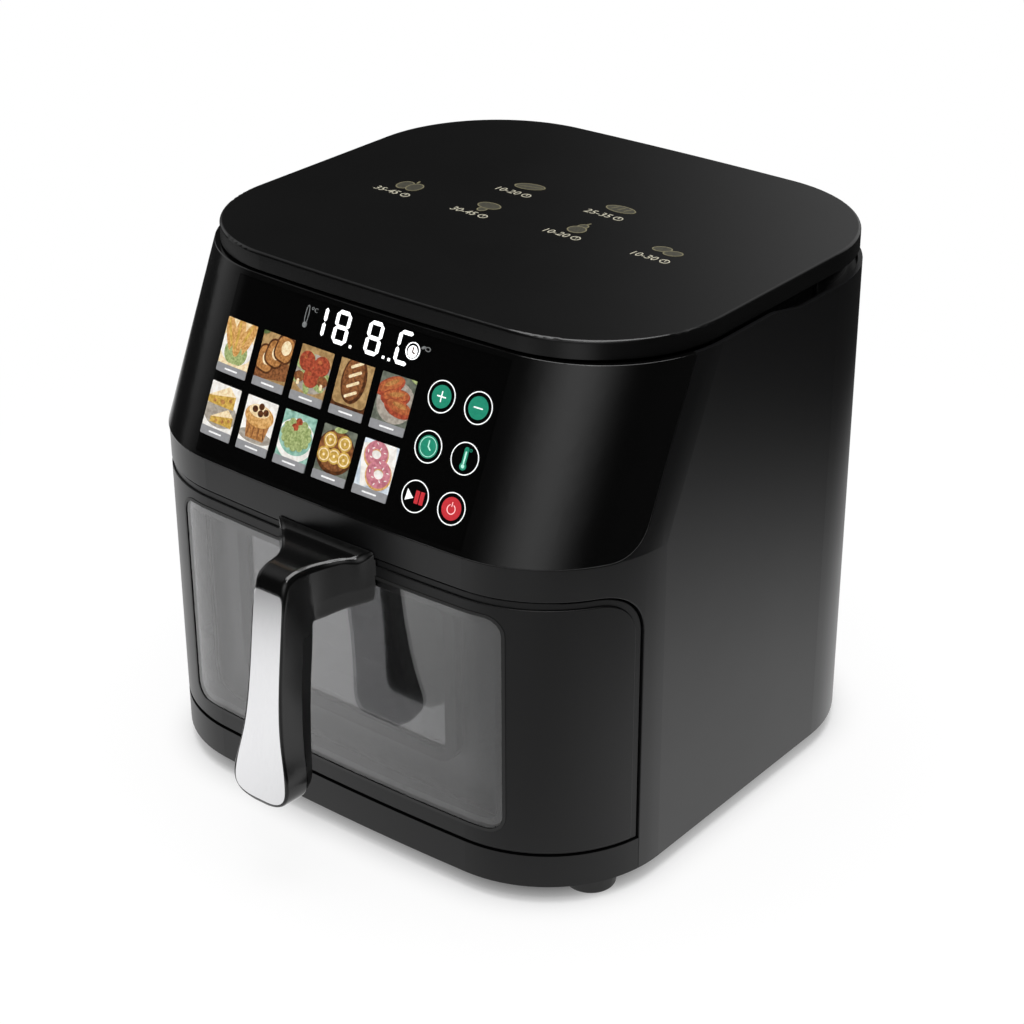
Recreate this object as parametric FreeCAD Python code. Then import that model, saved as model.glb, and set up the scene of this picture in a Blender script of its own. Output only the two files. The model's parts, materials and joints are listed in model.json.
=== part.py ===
"""Countertop air fryer: bowed housing, sloped touch fascia, windowed pull-out drawer and the works inside.

Millimetres, +Z up, front towards -Y, origin on the floor under the middle of the overall box.
"""
import FreeCAD
import Part
import math
import os

V = FreeCAD.Vector
UP = V(0, 0, 1)
FORWARD = V(0, -1, 0)

# Overall size
body_width = 315.4
body_depth = 311.0
handle_reach = 57.5
height = 300.0
front_y = (handle_reach - body_depth) / 2
back_y = front_y + body_depth

# Plan outline of the housing: bowed front and back, straight sides, round corners
half_width = body_width / 2
bow = 1690.0
front_corner = 74.0
back_corner = 82.0
lid_overhang_back = 1.5
shell_back_y = back_y - lid_overhang_back

# Heights of the seams
foot_height = 10.0
skirt_top = 29.0
drawer_top = 178.0
fascia_bottom = 196.0
shell_top = 288.7
lid_bottom = 290.2
vent_dip = 5.0
vent_dip_start = 38.0
vent_dip_run = 25.0

# Walls and gaps
shell_wall = 2.5
fascia_wall = 3.0
fascia_overhang = 0.8
edge_soft = 0.5
seam_gap = 0.3
drawer_gap = 0.8
ledge_wall = 2.5
ledge_reach = 14.0
sunk_head = 1.2
lid_ledge_top = 280.5
beyond = 40.0

# Sloped fascia
slope = 0.465
slope_angle = math.degrees(math.atan(slope))
fascia_wrap = 57.5
fascia_corner = 25.0
touch_x = -4.0
touch_half_width = 91.0
touch_depth = 1.7
touch_margin = 3.0

# Lid
lid_half_width = 154.5
lid_bow = 2270.0
lid_corner = 75.0
lid_wall = 3.0
lid_edge = 1.6
lid_rim_inset = 6.0
lid_rim_wall = 2.5
lid_screw_x = 146.0
lid_screw_ys = (-5.0, 90.0)
lid_screw_length = 11.0
lid_post_radius = 3.5

# Base and feet
base_wall = 3.0
foot_places = ((134.0, -78.0), (134.0, 115.0))
foot_radius = 15.0
foot_soft = 1.5
foot_spigot = 4.0
post_places = ((100.0, -40.0), (100.0, 125.0))
post_radius = 6.0
base_screw_seat = foot_height + 1.8
base_screw_length = 17.0
base_screw_sink = 3.4
vent_slot = (56.0, 4.0)
vent_rows = 8
vent_pitch = 9.0

# Drawer front
drawer_wrap = 60.8
drawer_corner = 25.0
drawer_wall = 3.0
drawer_field = 1.0
drawer_rim_top = 4.5
drawer_rim_side = 5.0
drawer_rim_bottom = 1.6
cover_screw_x = 146.0
cover_screw_zs = (50.0, 140.0)
cover_boss_radius = 4.0
handle_screw_x = 16.0
handle_screw_z = 171.3
handle_screw_length = 13.0
drawer_edge_y = front_y + drawer_wrap

# Window
window_half_width = 109.0
window_bottom = 42.0
window_top = 166.0
window_corner = 9.0
gasket_line = 1.8
gasket_lip = 5.0
glass_wall = 3.0
inner_window_half_width = 68.0
inner_window_bottom = 72.0
inner_window_top = 156.0
inner_glass_wall = 3.0
inner_frame_land = 4.0

# Basket and crisper plate
basket_half_width = 138.0
basket_front_y = front_y + 17.5
basket_back_y = 143.0
basket_corner_front = 55.0
basket_corner_back = 45.0
basket_bottom = 33.5
basket_top = 174.7
basket_wall = 1.0
basket_fillet = 14.0
basket_rim = 2.5
basket_tab = 9.0
basket_tab_half_width = 66.0
basket_screw_x = 45.0
bumper_places = ((116.0, -48.0), (116.0, 92.0))
bumper_radius = 8.0
bumper_button = 3.0
crisper_inset = 3.8
crisper_height = 46.0
crisper_wall = 1.2
crisper_lip = 6.0
crisper_slot = (30.0, 6.0)
crisper_columns = 5
crisper_rows = 11
crisper_pitch = (46.0, 19.0)
lift_hole = 12.0

# Cooking chamber
chamber_half_width = 142.0
chamber_floor = 28.2
chamber_ceiling = 182.0
chamber_corner = 8.0
chamber_back_y = 150.0
chamber_back_fold = 27.0
chamber_wall = 1.0
runner_x = 95.0
runner_radius = 5.0
flange_half_width = 153.0
flange_top = 189.0
flange_corner = 3.0
flange_y = drawer_edge_y + 0.7
duct_half_width = 44.0
duct_bottom = 128.0
duct_top = 172.0
duct_wall = 2.0

# Heating dome, heater and fans, on one vertical axis
axis_y = 43.0
dome_radius = 95.0
dome_flange = 104.0
dome_top = 229.0
dome_round = 10.0
dome_bore = 8.0
dome_screw_circle = 100.0
dome_screw_count = 6
guard_radius = 102.0
guard_slots = ((18.0, 28.0), (32.0, 42.0), (46.0, 56.0), (60.0, 70.0), (74.0, 84.0))
guard_spokes = 6
guard_spoke_width = 5.0
coil_radius = 3.3
coil_outer = 86.0
coil_inner = 66.0
coil_z = 192.0
coil_gap_angle = 16.0
terminal_bend = 9.0
terminal_top = 242.0
support_count = 3
support_half_width = 4.0
support_wall = 1.6
sensor_place = (-54.0, -54.0)
thermostat_place = (44.0, -56.0)
fan_radius = 58.0
fan_blades = 10
fan_top = 219.0
fan_blade_height = 14.0
fan_hub = 8.0
fan_blade_start = 20.0
fan_sweep = 18.0
nut_corner = 5.5
cooling_radius = 38.0
cooling_hub = 9.0
cooling_blades = 9
cooling_sweep = 24.0
shaft_radius = 3.0
shaft_fit = 0.05
shaft_bottom = 203.0
shaft_top = 287.0

# Motor and its deck
deck_z = 236.0
deck_wall = 1.5
deck_half_width = 114.0
deck_front = -34.0
deck_back = 60.0
deck_foot = 10.0
deck_screw_x = 119.0
deck_screw_inset = 14.0
deck_slot = (70.0, 24.0, 8.0)
deck_slot_inset = 22.0
deck_bore = 14.0
core_z = 248.0
core_height = 18.0
core_half_width = 30.0
core_front = -20.0
core_back = 42.0
core_window = (18.0, 17.5, 28.0)
standoff_inset = 5.0
standoff_radius = 4.0
winding_half_width = 15.0
winding_build = 9.0
bridge_half_length = 24.0
bridge_half_width = 8.0
bridge_wall = 2.0
bridge_leg = 5.0
bearing_radius = 5.0
rotor_radius = 12.6
rotor_gap = 0.4

# Boards
board_wall = 1.6
board_size = (168.0, 76.0)
board_depth = 14.4
display_size = (140.0, 58.0)
display_depth = 7.9
boss_places = (78.0, 33.0)
power_board_box = (-104.0, 60.0, -52.0, 150.0)
power_board_gap = 7.0
power_board_inset = (4.0, 6.0)

# Rear of the housing
grille_half_width = 50.0
grille_bottom = 122.0
grille_top = 178.0
grille_bars = 7
grille_lip = 5.0
grille_border = 3.0
grille_wall = 1.6
gland_x = 100.0
gland_z = 42.0
gland_radius = 9.0
gland_bore = 3.6
gland_nut = 4.0
gland_collar = 2.5

# Interlock
plunger_x = 148.4
plunger_z = 118.0
plunger_radius = 2.0
plunger_length = 14.0
switch_half_width = 4.2
switch_half_height = 10.0
switch_depth = 18.0

# Handle
grip_depth = 22.0
grip_lean = 0.128
grip_end = 47.5
grip_toe = 53.0
grip_low = 62.0
grip_inner_z = 139.0
grip_proud = 0.35
rear_half_depth = 8.0
# Arm of the handle, from the drawer forward: reach, top, underside, half width.
arm_stations = ((-4.0, 180.6, 152.6, 34.0), (2.0, 179.6, 152.2, 31.5), (8.5, 177.9, 149.6, 24.6),
                (17.4, 176.6, 145.6, 16.8))
# Shoulder: reach and height of the outer line, angle round the inner corner, half width.
shoulder_stations = ((25.6, 176.3, 105.0, 13.7), (33.4, 175.9, 117.0, 12.7), (39.7, 173.2, 128.0, 12.3),
                     (42.9, 166.5, 140.0, 12.4))
shoulder_pivot = (19.5, 139.2)
shoulder_inner_radius = 4.8
# Grip: height of the front and the rear line, then half widths at the front, the parting and the rear.
grip_stations = ((156.0, 141.2, 10.8, 12.7, 12.3), (144.0, 138.4, 10.9, 12.9, 12.6),
                 (130.0, 130.0, 11.0, 13.1, 12.9), (113.0, 113.0, 11.4, 13.4, 13.1),
                 (98.0, 98.0, 12.5, 14.6, 13.6), (86.0, 86.0, 14.0, 16.0, 14.4),
                 (73.0, 73.0, 16.6, 18.4, 15.4), (grip_low, grip_low, 19.0, 20.3, 16.4))
grip_end_angles = (10.0, 22.0, 38.0, 54.0, 68.0, 80.0)
grip_end_power = 0.77
grip_end_shrink = 7.0
arm_soft = 3.2
shoulder_soft = 3.8
grip_soft = 2.0
insert_wall = 1.5
insert_top = 167.0
insert_corner = 3.5
# Half outline of the handle insert, from its top down to the middle of its lower end.
insert_edge = ((9.7, 160.0), (9.9, 137.0), (10.3, 113.0), (12.9, 86.0), (17.4, 62.5), (16.6, 55.0),
               (11.0, 50.9), (0.0, 49.8))


def place_side(a, b):
    """A point of the side view: a along Y, b up."""
    return V(-half_width - beyond, a, b)


def place_plan(a, b):
    """A point of the plan view at floor level."""
    return V(a, b, 0)


def place_front(a, b):
    """A point of the front view: a along X, b up."""
    return V(a, 0, b)


def rounded_outline(points, place):
    """Closed wire through (a, b, radius) points, each corner with a radius being a tangent arc."""
    corners = [V(a, b, 0) for a, b, radius in points]
    count = len(points)
    spans = []
    for i in range(count):
        radius = points[i][2]
        before = (corners[i - 1] - corners[i]).normalize()
        after = (corners[(i + 1) % count] - corners[i]).normalize()
        half_angle = before.getAngle(after) / 2
        reach = radius / math.tan(half_angle)
        bisector = (before + after).normalize() if radius else V(0, 0, 0)
        middle = corners[i] + bisector * (radius / math.sin(half_angle) - radius)
        spans.append((corners[i] + before * reach, middle, corners[i] + after * reach))
    edges = []
    for i in range(count):
        start, middle, end = (place(p.x, p.y) for p in spans[i])
        if points[i][2]:
            edges.append(Part.Arc(start, middle, end).toShape())
        following = spans[(i + 1) % count][0]
        following = place(following.x, following.y)
        if end.distanceToPoint(following) > 1e-6:
            edges.append(Part.LineSegment(end, following).toShape())
    return Part.Wire(edges)


def side_prism(points):
    """Side-view outline carried right across the housing."""
    across = V(2 * (half_width + beyond), 0, 0)
    return Part.Face(rounded_outline(points, place_side)).extrude(across)


def plan_prism(points, z_low, z_high):
    """Plan outline raised from z_low to z_high."""
    solid = Part.Face(rounded_outline(points, place_plan)).extrude(V(0, 0, z_high - z_low))
    return solid.translate(V(0, 0, z_low))


def front_prism(points, y_low, y_high):
    """Front-view outline carried from y_low to y_high."""
    solid = Part.Face(rounded_outline(points, place_front)).extrude(V(0, y_high - y_low, 0))
    return solid.translate(V(0, y_low, 0))


def rectangle(a_low, b_low, a_high, b_high, radius=0.0):
    """Outline points of a rectangle with one corner radius."""
    corners = ((a_low, b_low), (a_high, b_low), (a_high, b_high), (a_low, b_high))
    return [(a, b, radius) for a, b in corners]


def box(x_low, y_low, z_low, x_high, y_high, z_high):
    """Box between two corners."""
    return Part.makeBox(x_high - x_low, y_high - y_low, z_high - z_low, V(x_low, y_low, z_low))


def rod(radius, start, end):
    """Round bar from one point to another."""
    return Part.makeCylinder(radius, start.distanceToPoint(end), start, end - start)


def ring(outer, inner, start, end):
    """Tube from one point to another."""
    return rod(outer, start, end).cut(rod(inner, start, end))


def turned(profile, x=0.0, y=0.0):
    """Solid of revolution about a vertical axis, from (radius, z, round) points."""
    wire = rounded_outline(profile, place_front)
    solid = Part.Face(wire).revolve(V(0, 0, 0), UP, 360)
    return solid.translate(V(x, y, 0))


def join(shapes):
    """One solid from pieces that touch or overlap."""
    return shapes[0].multiFuse(shapes[1:]).removeSplitter()


def four(places, make):
    """Copies of a piece at places mirrored across the middle plane."""
    return [make(side * x, y) for x, y in places for side in (-1, 1)]


def screw(at, direction, length, head=3.0, shank=1.5, head_height=1.8):
    """Pan-head screw whose head seats at a point and whose shank runs along a direction."""
    run = direction * length
    return rod(head, at, at - direction * head_height).fuse(rod(shank, at, at + run)).removeSplitter()


def screw_hole(at, direction, length, shank=1.5):
    """Clearance hole for a screw's shank, longer than the shank at both ends."""
    return rod(shank + shaft_fit, at - direction * 3, at + direction * (length + 0.5))


def sunk_hole(at, direction):
    """Clearance hole with a sunk seat for a screw's head."""
    return screw_hole(at, direction, 10).fuse(rod(3.3, at, at - direction * 4))


def plan_wire(half, y_front, y_back, bow_radius, r_front, r_back, z):
    """Housing plan outline at one height: bowed ends, straight sides, corner arcs tangent to both."""
    def corner(y_end, radius, sign):
        pole = y_end - sign * bow_radius
        x = half - radius
        y = pole + sign * math.sqrt((bow_radius - radius) ** 2 - x ** 2)
        angle = math.atan2(x, abs(y - pole))
        middle = (angle + math.pi / 2) / 2
        on_bow = V(bow_radius * math.sin(angle), pole + sign * bow_radius * math.cos(angle), z)
        on_arc = V(x + radius * math.sin(middle), y + sign * radius * math.cos(middle), z)
        return on_bow, on_arc, V(half, y, z)

    def mirrored(point):
        return V(-point.x, point.y, point.z)

    front = corner(y_front, r_front, -1)
    back = corner(y_back, r_back, 1)
    edges = [
        Part.Arc(mirrored(front[0]), V(0, y_front, z), front[0]).toShape(),
        Part.Arc(front[0], front[1], front[2]).toShape(),
        Part.LineSegment(front[2], back[2]).toShape(),
        Part.Arc(back[2], back[1], back[0]).toShape(),
        Part.Arc(back[0], V(0, y_back, z), mirrored(back[0])).toShape(),
        Part.Arc(mirrored(back[0]), mirrored(back[1]), mirrored(back[2])).toShape(),
        Part.LineSegment(mirrored(back[2]), mirrored(front[2])).toShape(),
        Part.Arc(mirrored(front[2]), mirrored(front[1]), mirrored(front[0])).toShape(),
    ]
    return Part.Wire(edges)


def low_form(inset, z_low, z_high):
    """Upright lower housing form, drawn in by an inset."""
    wire = plan_wire(half_width - inset, front_y + inset, shell_back_y - inset, bow - inset,
                     front_corner - inset, back_corner - inset, z_low)
    return Part.Face(wire).extrude(V(0, 0, z_high - z_low))


def soften(solid, points):
    """Round the runs of edges that pass through the given points."""
    for point in points:
        edges = [edge for edge in solid.Edges if edge.distToShape(Part.Vertex(point))[0] < 0.01]
        solid = solid.makeFillet(edge_soft, edges)
    return solid


def slope_y(z):
    """Front of the sloped upper housing at one height."""
    return front_y + slope * (z - fascia_bottom)


def up_form(inset, z_low, z_high, overhang=0.0):
    """Upper housing form: the front slopes back, the sides and back stay upright."""
    rise = z_high - z_low
    far = shell_back_y + 4 * beyond
    leaning = plan_wire(half_width - inset, slope_y(z_low) - overhang + inset, far, bow - inset,
                        front_corner - inset, back_corner - inset, z_low)
    upright = plan_wire(half_width - inset, front_y - beyond, shell_back_y - inset, bow - inset,
                        front_corner - inset, back_corner - inset, z_low)
    front = Part.Face(leaning).extrude(V(0, slope * rise, rise))
    return front.common(Part.Face(upright).extrude(V(0, 0, rise)))


def seam_points(gap):
    """Rear edge of the fascia in side view, from its lower front to its top, moved forward by a gap."""
    foot = front_y + fascia_wrap - gap
    over = shell_top + beyond
    return [(front_y - beyond, fascia_bottom, 0), (foot, fascia_bottom, fascia_corner + gap),
            (foot + slope * (over - fascia_bottom), over, 0)]


def shell_region():
    """Side view of the outer shell: clear of the drawer, the fascia and the rear air slot."""
    seam = seam_points(0.0)
    dip_end = vent_dip_start + vent_dip_run
    rear = back_y + beyond
    run = vent_dip_run
    top = [(seam[2][0] + slope * (shell_top - seam[2][1]), shell_top, 0), (vent_dip_start, shell_top, run),
           (dip_end, shell_top - vent_dip, run), (rear, shell_top - vent_dip, 0)]
    drawer = [(drawer_edge_y, foot_height, 0), (drawer_edge_y, drawer_top, drawer_corner),
              (front_y - beyond, drawer_top, 0)]
    return side_prism(drawer + seam[:2] + top + [(rear, foot_height, 0)])


def drawer_region(inset_top, inset_back, inset_bottom):
    """Side view of the drawer front, drawn in from the edges of its bay."""
    radius = drawer_corner - max(inset_top, inset_back)
    y = drawer_edge_y - inset_back
    z = drawer_top - inset_top
    return side_prism([(front_y - beyond, skirt_top + inset_bottom, 0), (y, skirt_top + inset_bottom, 0),
                       (y, z, radius), (front_y - beyond, z, 0)])


def lid_screw_places():
    """Plan places of the lid screws on the +X side."""
    return [(lid_screw_x, y) for y in lid_screw_ys]


def make_shell():
    """Side and back shell with the band over the drawer, its ledges and rear openings."""
    lower = low_form(0, foot_height, fascia_bottom).cut(low_form(shell_wall, 0, fascia_bottom + 1))
    upper = up_form(0, fascia_bottom, shell_top).cut(up_form(shell_wall, fascia_bottom - 1, shell_top + 1))
    region = shell_region()
    skin = lower.fuse(upper).removeSplitter().common(region)
    skin = soften(skin, [V(0, front_y, drawer_top), V(0, front_y, fascia_bottom)])
    roof = low_form(1, drawer_top, drawer_top + ledge_wall)
    roof = roof.common(box(-half_width, front_y, 0, half_width, drawer_edge_y + 0.4, height))
    rest_low = fascia_bottom - ledge_wall
    rest = low_form(1, rest_low, fascia_bottom).cut(low_form(ledge_reach, 0, height))
    rest = rest.common(box(-half_width, front_y, 0, half_width, front_y + 2 * ledge_reach, height))
    ledge = up_form(1, lid_ledge_top - ledge_wall, lid_ledge_top)
    ledge = ledge.cut(up_form(ledge_reach, foot_height, height))
    shell = join([skin, roof, rest, ledge.common(region)])
    grille = box(-grille_half_width, back_y - beyond, grille_bottom, grille_half_width, back_y, grille_top)
    gland = rod(gland_radius, V(gland_x, back_y - beyond, gland_z), V(gland_x, back_y, gland_z))
    holes = [screw_hole(V(side * x, y, lid_ledge_top - ledge_wall), UP, ledge_wall)
             for x, y in lid_screw_places() for side in (-1, 1)]
    return shell.cut(Part.makeCompound([grille, gland] + holes))


def slope_frame(solid):
    """Lay an upright piece, drawn about the origin facing -Y, on the middle of the sloped front."""
    middle_z = (fascia_bottom + shell_top) / 2
    solid.rotate(V(0, 0, 0), V(1, 0, 0), -slope_angle)
    return solid.translate(V(0, slope_y(middle_z) - fascia_overhang, middle_z))


def boss_points():
    """Places of the control board's fixings, across and up the slope."""
    across, up = boss_places
    return [(i * across, j * up) for i in (-1, 1) for j in (-1, 1)]


def make_fascia():
    """Sloped control fascia that wraps round both front corners, with a recess and board bosses."""
    outer = up_form(0, fascia_bottom, shell_top, fascia_overhang)
    inner = up_form(fascia_wall, fascia_bottom - 1, shell_top + 1, fascia_overhang)
    seam = seam_points(seam_gap)
    region = side_prism(seam + [(front_y - beyond, seam[2][1], 0)])
    floor = up_form(1, fascia_bottom, fascia_bottom + ledge_wall, fascia_overhang)
    floor = floor.cut(up_form(ledge_reach - 2, foot_height, height, fascia_overhang))
    floor = floor.common(box(-half_width, front_y - beyond, 0, half_width, front_y + ledge_reach, height))
    ledge = up_form(1, lid_ledge_top - ledge_wall, lid_ledge_top, fascia_overhang)
    ledge = ledge.cut(up_form(ledge_reach, foot_height, height, fascia_overhang))
    bosses = [slope_frame(rod(4, V(x, 1.5, z), V(x, board_depth, z))) for x, z in boss_points()]
    bosses = [boss.common(up_form(1, fascia_bottom, shell_top, fascia_overhang)) for boss in bosses]
    rims = [V(0, slope_y(z) - fascia_overhang, z) for z in (fascia_bottom, shell_top)]
    skin = soften(outer.cut(inner).common(region), rims)
    fascia = join([skin, floor, ledge.common(region)] + bosses)
    pilots = [slope_frame(screw_hole(V(x, board_depth + board_wall, z), FORWARD, 7, 1.2))
              for x, z in boss_points()]
    return fascia.cut(touch_slab(0, touch_depth, 1.0)).cut(Part.makeCompound(pilots))


def touch_slab(gap, depth, proud):
    """Curved slab of the touch panel, or of its recess, from above the fascia's face to a depth under it."""
    low = fascia_bottom + touch_margin + gap
    high = shell_top - touch_margin - gap
    half = touch_half_width - gap
    slab = up_form(-proud, low, high, fascia_overhang)
    slab = slab.cut(up_form(depth, low - 1, high + 1, fascia_overhang))
    return slab.common(box(touch_x - half, front_y - beyond, low, touch_x + half, axis_y, high))


def make_touch_panel():
    """Dark touch glass let into the fascia, flush with its face."""
    return touch_slab(seam_gap, touch_depth - 0.1, 0.0)


def lid_form(inset, z_low, z_high):
    """Plan form of the lid, drawn in by an inset."""
    wire = plan_wire(lid_half_width - inset, slope_y(lid_bottom) + inset, back_y - inset, lid_bow - inset,
                     lid_corner - inset, back_corner - inset, z_low)
    return Part.Face(wire).extrude(V(0, 0, z_high - z_low))


def make_lid():
    """Flat lid with a rounded top edge, a hollow underside and a rim that seats on the shell's ledge."""
    block = lid_form(0, lid_bottom, height)
    top_edges = [edge for edge in block.Edges if edge.BoundBox.ZMin > height - 0.1]
    block = block.makeFillet(lid_edge, top_edges)
    hollow = lid_form(lid_wall, lid_bottom - 1, height - lid_wall)
    rim_end = lid_rim_inset + lid_rim_wall
    rim = lid_form(lid_rim_inset, lid_ledge_top, height - 1).cut(lid_form(rim_end, foot_height, height))
    places = lid_screw_places()
    posts = four(places, lambda x, y: rod(lid_post_radius, V(x, y, lid_ledge_top), V(x, y, height - 1)))
    lid = join([block.cut(hollow), rim] + posts)
    holes = four(places, lambda x, y: screw_hole(V(x, y, lid_ledge_top), UP, lid_screw_length - 2))
    return lid.cut(Part.makeCompound(holes))


def make_lid_screws():
    """Screws from under the ledge into the lid."""
    seat = lid_ledge_top - ledge_wall
    screws = four(lid_screw_places(), lambda x, y: screw(V(x, y, seat), UP, lid_screw_length))
    return Part.makeCompound(screws)


def make_base():
    """Base tray: floor plate with intake slots, front skirt under the drawer, posts for the chamber."""
    plate = low_form(shell_wall + 0.2, foot_height, foot_height + base_wall)
    skirt = low_form(0, foot_height, skirt_top).cut(low_form(drawer_wall, 0, height))
    edge = drawer_edge_y - seam_gap
    skirt = skirt.common(box(-half_width, front_y - beyond, 0, half_width, edge, skirt_top))
    bridge = low_form(1, foot_height, foot_height + base_wall)
    bridge = bridge.common(box(-half_width, front_y, 0, half_width, edge, skirt_top))
    post_top = chamber_floor - chamber_wall
    posts = four(post_places, lambda x, y: rod(post_radius, V(x, y, foot_height), V(x, y, post_top)))
    base = join([plate, bridge, skirt] + posts)
    length, width = vent_slot
    cuts = four(foot_places, lambda x, y: rod(foot_spigot + shaft_fit, V(x, y, 0), V(x, y, skirt_top)))
    for x, y in post_places:
        for side in (-1, 1):
            seat = V(side * x, y, base_screw_seat)
            cuts += [screw_hole(seat, UP, base_screw_length), rod(base_screw_sink, V(side * x, y, 0), seat)]
    for i in range(vent_rows):
        y = axis_y + (i - (vent_rows - 1) / 2) * vent_pitch
        for x in (-length, length):
            cuts.append(plan_prism(rectangle(x - length / 2, y - width / 2, x + length / 2, y + width / 2,
                                             width / 2 - 0.01), 0, skirt_top))
    return base.cut(Part.makeCompound(cuts))


def make_base_screws():
    """Screws up through the posts into the chamber floor."""
    screws = four(post_places, lambda x, y: screw(V(x, y, base_screw_seat), UP, base_screw_length))
    return Part.makeCompound(screws)


def make_feet():
    """Round rubber feet with a softened edge and a spigot in the base."""
    spigot_top = foot_height + base_wall - 0.2
    profile = [(0, 0, 0), (foot_radius - foot_soft, 0, foot_soft), (foot_radius, foot_height, 0),
               (foot_spigot, foot_height, 0), (foot_spigot, spigot_top, 0), (0, spigot_top, 0)]
    return Part.makeCompound(four(foot_places, lambda x, y: turned(profile, x, y)))


def make_grille():
    """Rear air outlet: a flush frame with level bars and a lip inside the shell."""
    low, high = grille_bottom + seam_gap, grille_top - seam_gap
    half = grille_half_width - seam_gap
    inside = low_form(shell_wall + grille_wall, 0, height)
    field = low_form(0.4, low, high).cut(inside)
    field = field.common(box(-half, axis_y, low, half, back_y, high))
    lip_low, lip_high = low - grille_lip, high + grille_lip
    lip = low_form(shell_wall + 0.1, lip_low, lip_high).cut(inside)
    lip = lip.common(box(-half - grille_lip, axis_y, lip_low, half + grille_lip, back_y, lip_high))
    pitch = (high - low - 2 * grille_border) / grille_bars
    gap = pitch * 0.55
    slots = []
    for i in range(grille_bars):
        z = low + grille_border + pitch * (i + 0.5)
        end = half - grille_lip
        slot = rectangle(-end, z - gap / 2, end, z + gap / 2, gap * 0.45)
        slots.append(front_prism(slot, axis_y, back_y + beyond))
    return join([field, lip]).cut(Part.makeCompound(slots))


def make_gland():
    """Cable inlet: a collar outside, a neck through the shell and a nut inside, with the bore open."""
    outside = low_face_y(gland_x)
    nose, nut = outside + 1.4, outside - shell_wall - gland_nut - 3
    neck = gland_radius - 0.2
    flange, collar = neck + 3, neck + gland_collar
    seat = nut + gland_nut
    nut_side = [(gland_bore, nut, 0), (flange, nut, 1), (flange, seat, 0), (neck, seat, 0)]
    nose_side = [(neck, nose - 1.2, 0), (collar, nose - 1.2, 0), (collar, nose, 0.8), (gland_bore, nose, 0.8)]
    solid = Part.Face(rounded_outline(nut_side + nose_side, place_front)).revolve(V(0, 0, 0), UP, 360)
    solid.rotate(V(0, 0, 0), V(1, 0, 0), -90)
    solid = solid.translate(V(gland_x, 0, gland_z))
    return solid.cut(low_form(0, 0, height).cut(low_form(shell_wall + 0.1, 0, height)).cut(
        rod(neck + 0.01, V(gland_x, axis_y, gland_z), V(gland_x, back_y, gland_z))))


def low_face_y(x):
    """Where the housing's back face stands at one distance from the middle."""
    edge = low_form(0, 0, 10).common(box(x - 0.05, axis_y, 0, x + 0.05, back_y, 10))
    return edge.BoundBox.YMax


def chamber_form(grow, front):
    """Chamber tunnel from its front, with round long edges and folded back corners, grown by a wall."""
    half = chamber_half_width + grow
    back = chamber_back_y + grow
    section = rectangle(-half, chamber_floor - grow, half, chamber_ceiling + grow, chamber_corner + grow)
    tunnel = front_prism(section, front, back)
    fold = chamber_back_fold + grow * (2 - math.sqrt(2))
    side = [(half, front, 0), (half, back - fold, 0), (half - fold, back, 0)]
    plan = side + [(-x, y, r) for x, y, r in reversed(side)]
    return tunnel.common(plan_prism(plan, 0, height))


def make_liner():
    """Cooking chamber liner: an open-fronted sheet tunnel with runners, a front flange and its openings."""
    half, wall = chamber_half_width, chamber_wall
    front = flange_y
    outer = chamber_form(wall, front)
    inner = chamber_form(0, front - 1)
    flange_low = foot_height + base_wall + 0.3
    outline = rectangle(-flange_half_width, flange_low, flange_half_width, flange_top, flange_corner)
    flange = front_prism(outline, front, front + wall)
    above_floor = box(-half, front, chamber_floor - wall, half, chamber_back_y, height)
    runners = []
    for x in (-runner_x, runner_x):
        bar = rod(runner_radius, V(x, front, chamber_floor), V(x, chamber_back_y, chamber_floor))
        runners.append(bar.common(above_floor))
    liner = join([outer.fuse(flange).cut(inner)] + runners)
    cuts = [rod(dome_radius, V(0, axis_y, chamber_ceiling - 5), V(0, axis_y, chamber_ceiling + 5))]
    outlet = rectangle(-duct_half_width, duct_bottom, duct_half_width, duct_top)
    cuts.append(front_prism(outlet, chamber_back_y - 5, chamber_back_y + 5))
    pin = V(plunger_x, front, plunger_z)
    cuts.append(rod(plunger_radius + 0.4, pin + FORWARD * 5, pin - FORWARD * 5))
    cuts += [screw_hole(at, -UP, 4.4, 1.2) for at in dome_screw_points()]
    cuts += four(post_places, lambda x, y: screw_hole(V(x, y, base_screw_seat), UP, base_screw_length))
    cuts += [screw_hole(at, -UP, 3, 1.5) for at in deck_screw_points()]
    return liner.cut(Part.makeCompound(cuts))


def dome_screw_points():
    """Heads of the screws round the dome's flange."""
    z = chamber_ceiling + 2 * chamber_wall
    step = 360 / dome_screw_count
    return [coil_point(dome_screw_circle, step * (i + 0.5), z) for i in range(dome_screw_count)]


def make_dome():
    """Pressed dome over the heater and fan, flanged on the chamber's ceiling."""
    wall = chamber_wall
    low = chamber_ceiling + wall
    profile = [(dome_radius, low, 0), (dome_flange, low, 0), (dome_flange, low + wall, 0),
               (dome_radius + wall, low + wall, 1.5), (dome_radius + wall, dome_top, dome_round + wall),
               (dome_bore, dome_top, 0), (dome_bore, dome_top - wall, 0),
               (dome_radius, dome_top - wall, dome_round)]
    dome = turned(profile, 0, axis_y)
    cuts = []
    for at in terminal_points():
        cuts.append(rod(coil_radius + 0.4, V(at.x, at.y, dome_top - 9), V(at.x, at.y, dome_top + 9)))
    cuts.append(rod(2.4, sensor_point() - UP * 9, sensor_point() + UP * 9))
    cuts += [screw_hole(at, -UP, 4.4, 1.2) for at in dome_screw_points()]
    return dome.cut(Part.makeCompound(cuts))


def make_dome_screws():
    """Screws that clamp the dome and the guard to the chamber's ceiling."""
    return Part.makeCompound([screw(at, -UP, 4.0, 2.2, 1.2, 1.6) for at in dome_screw_points()])


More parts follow.
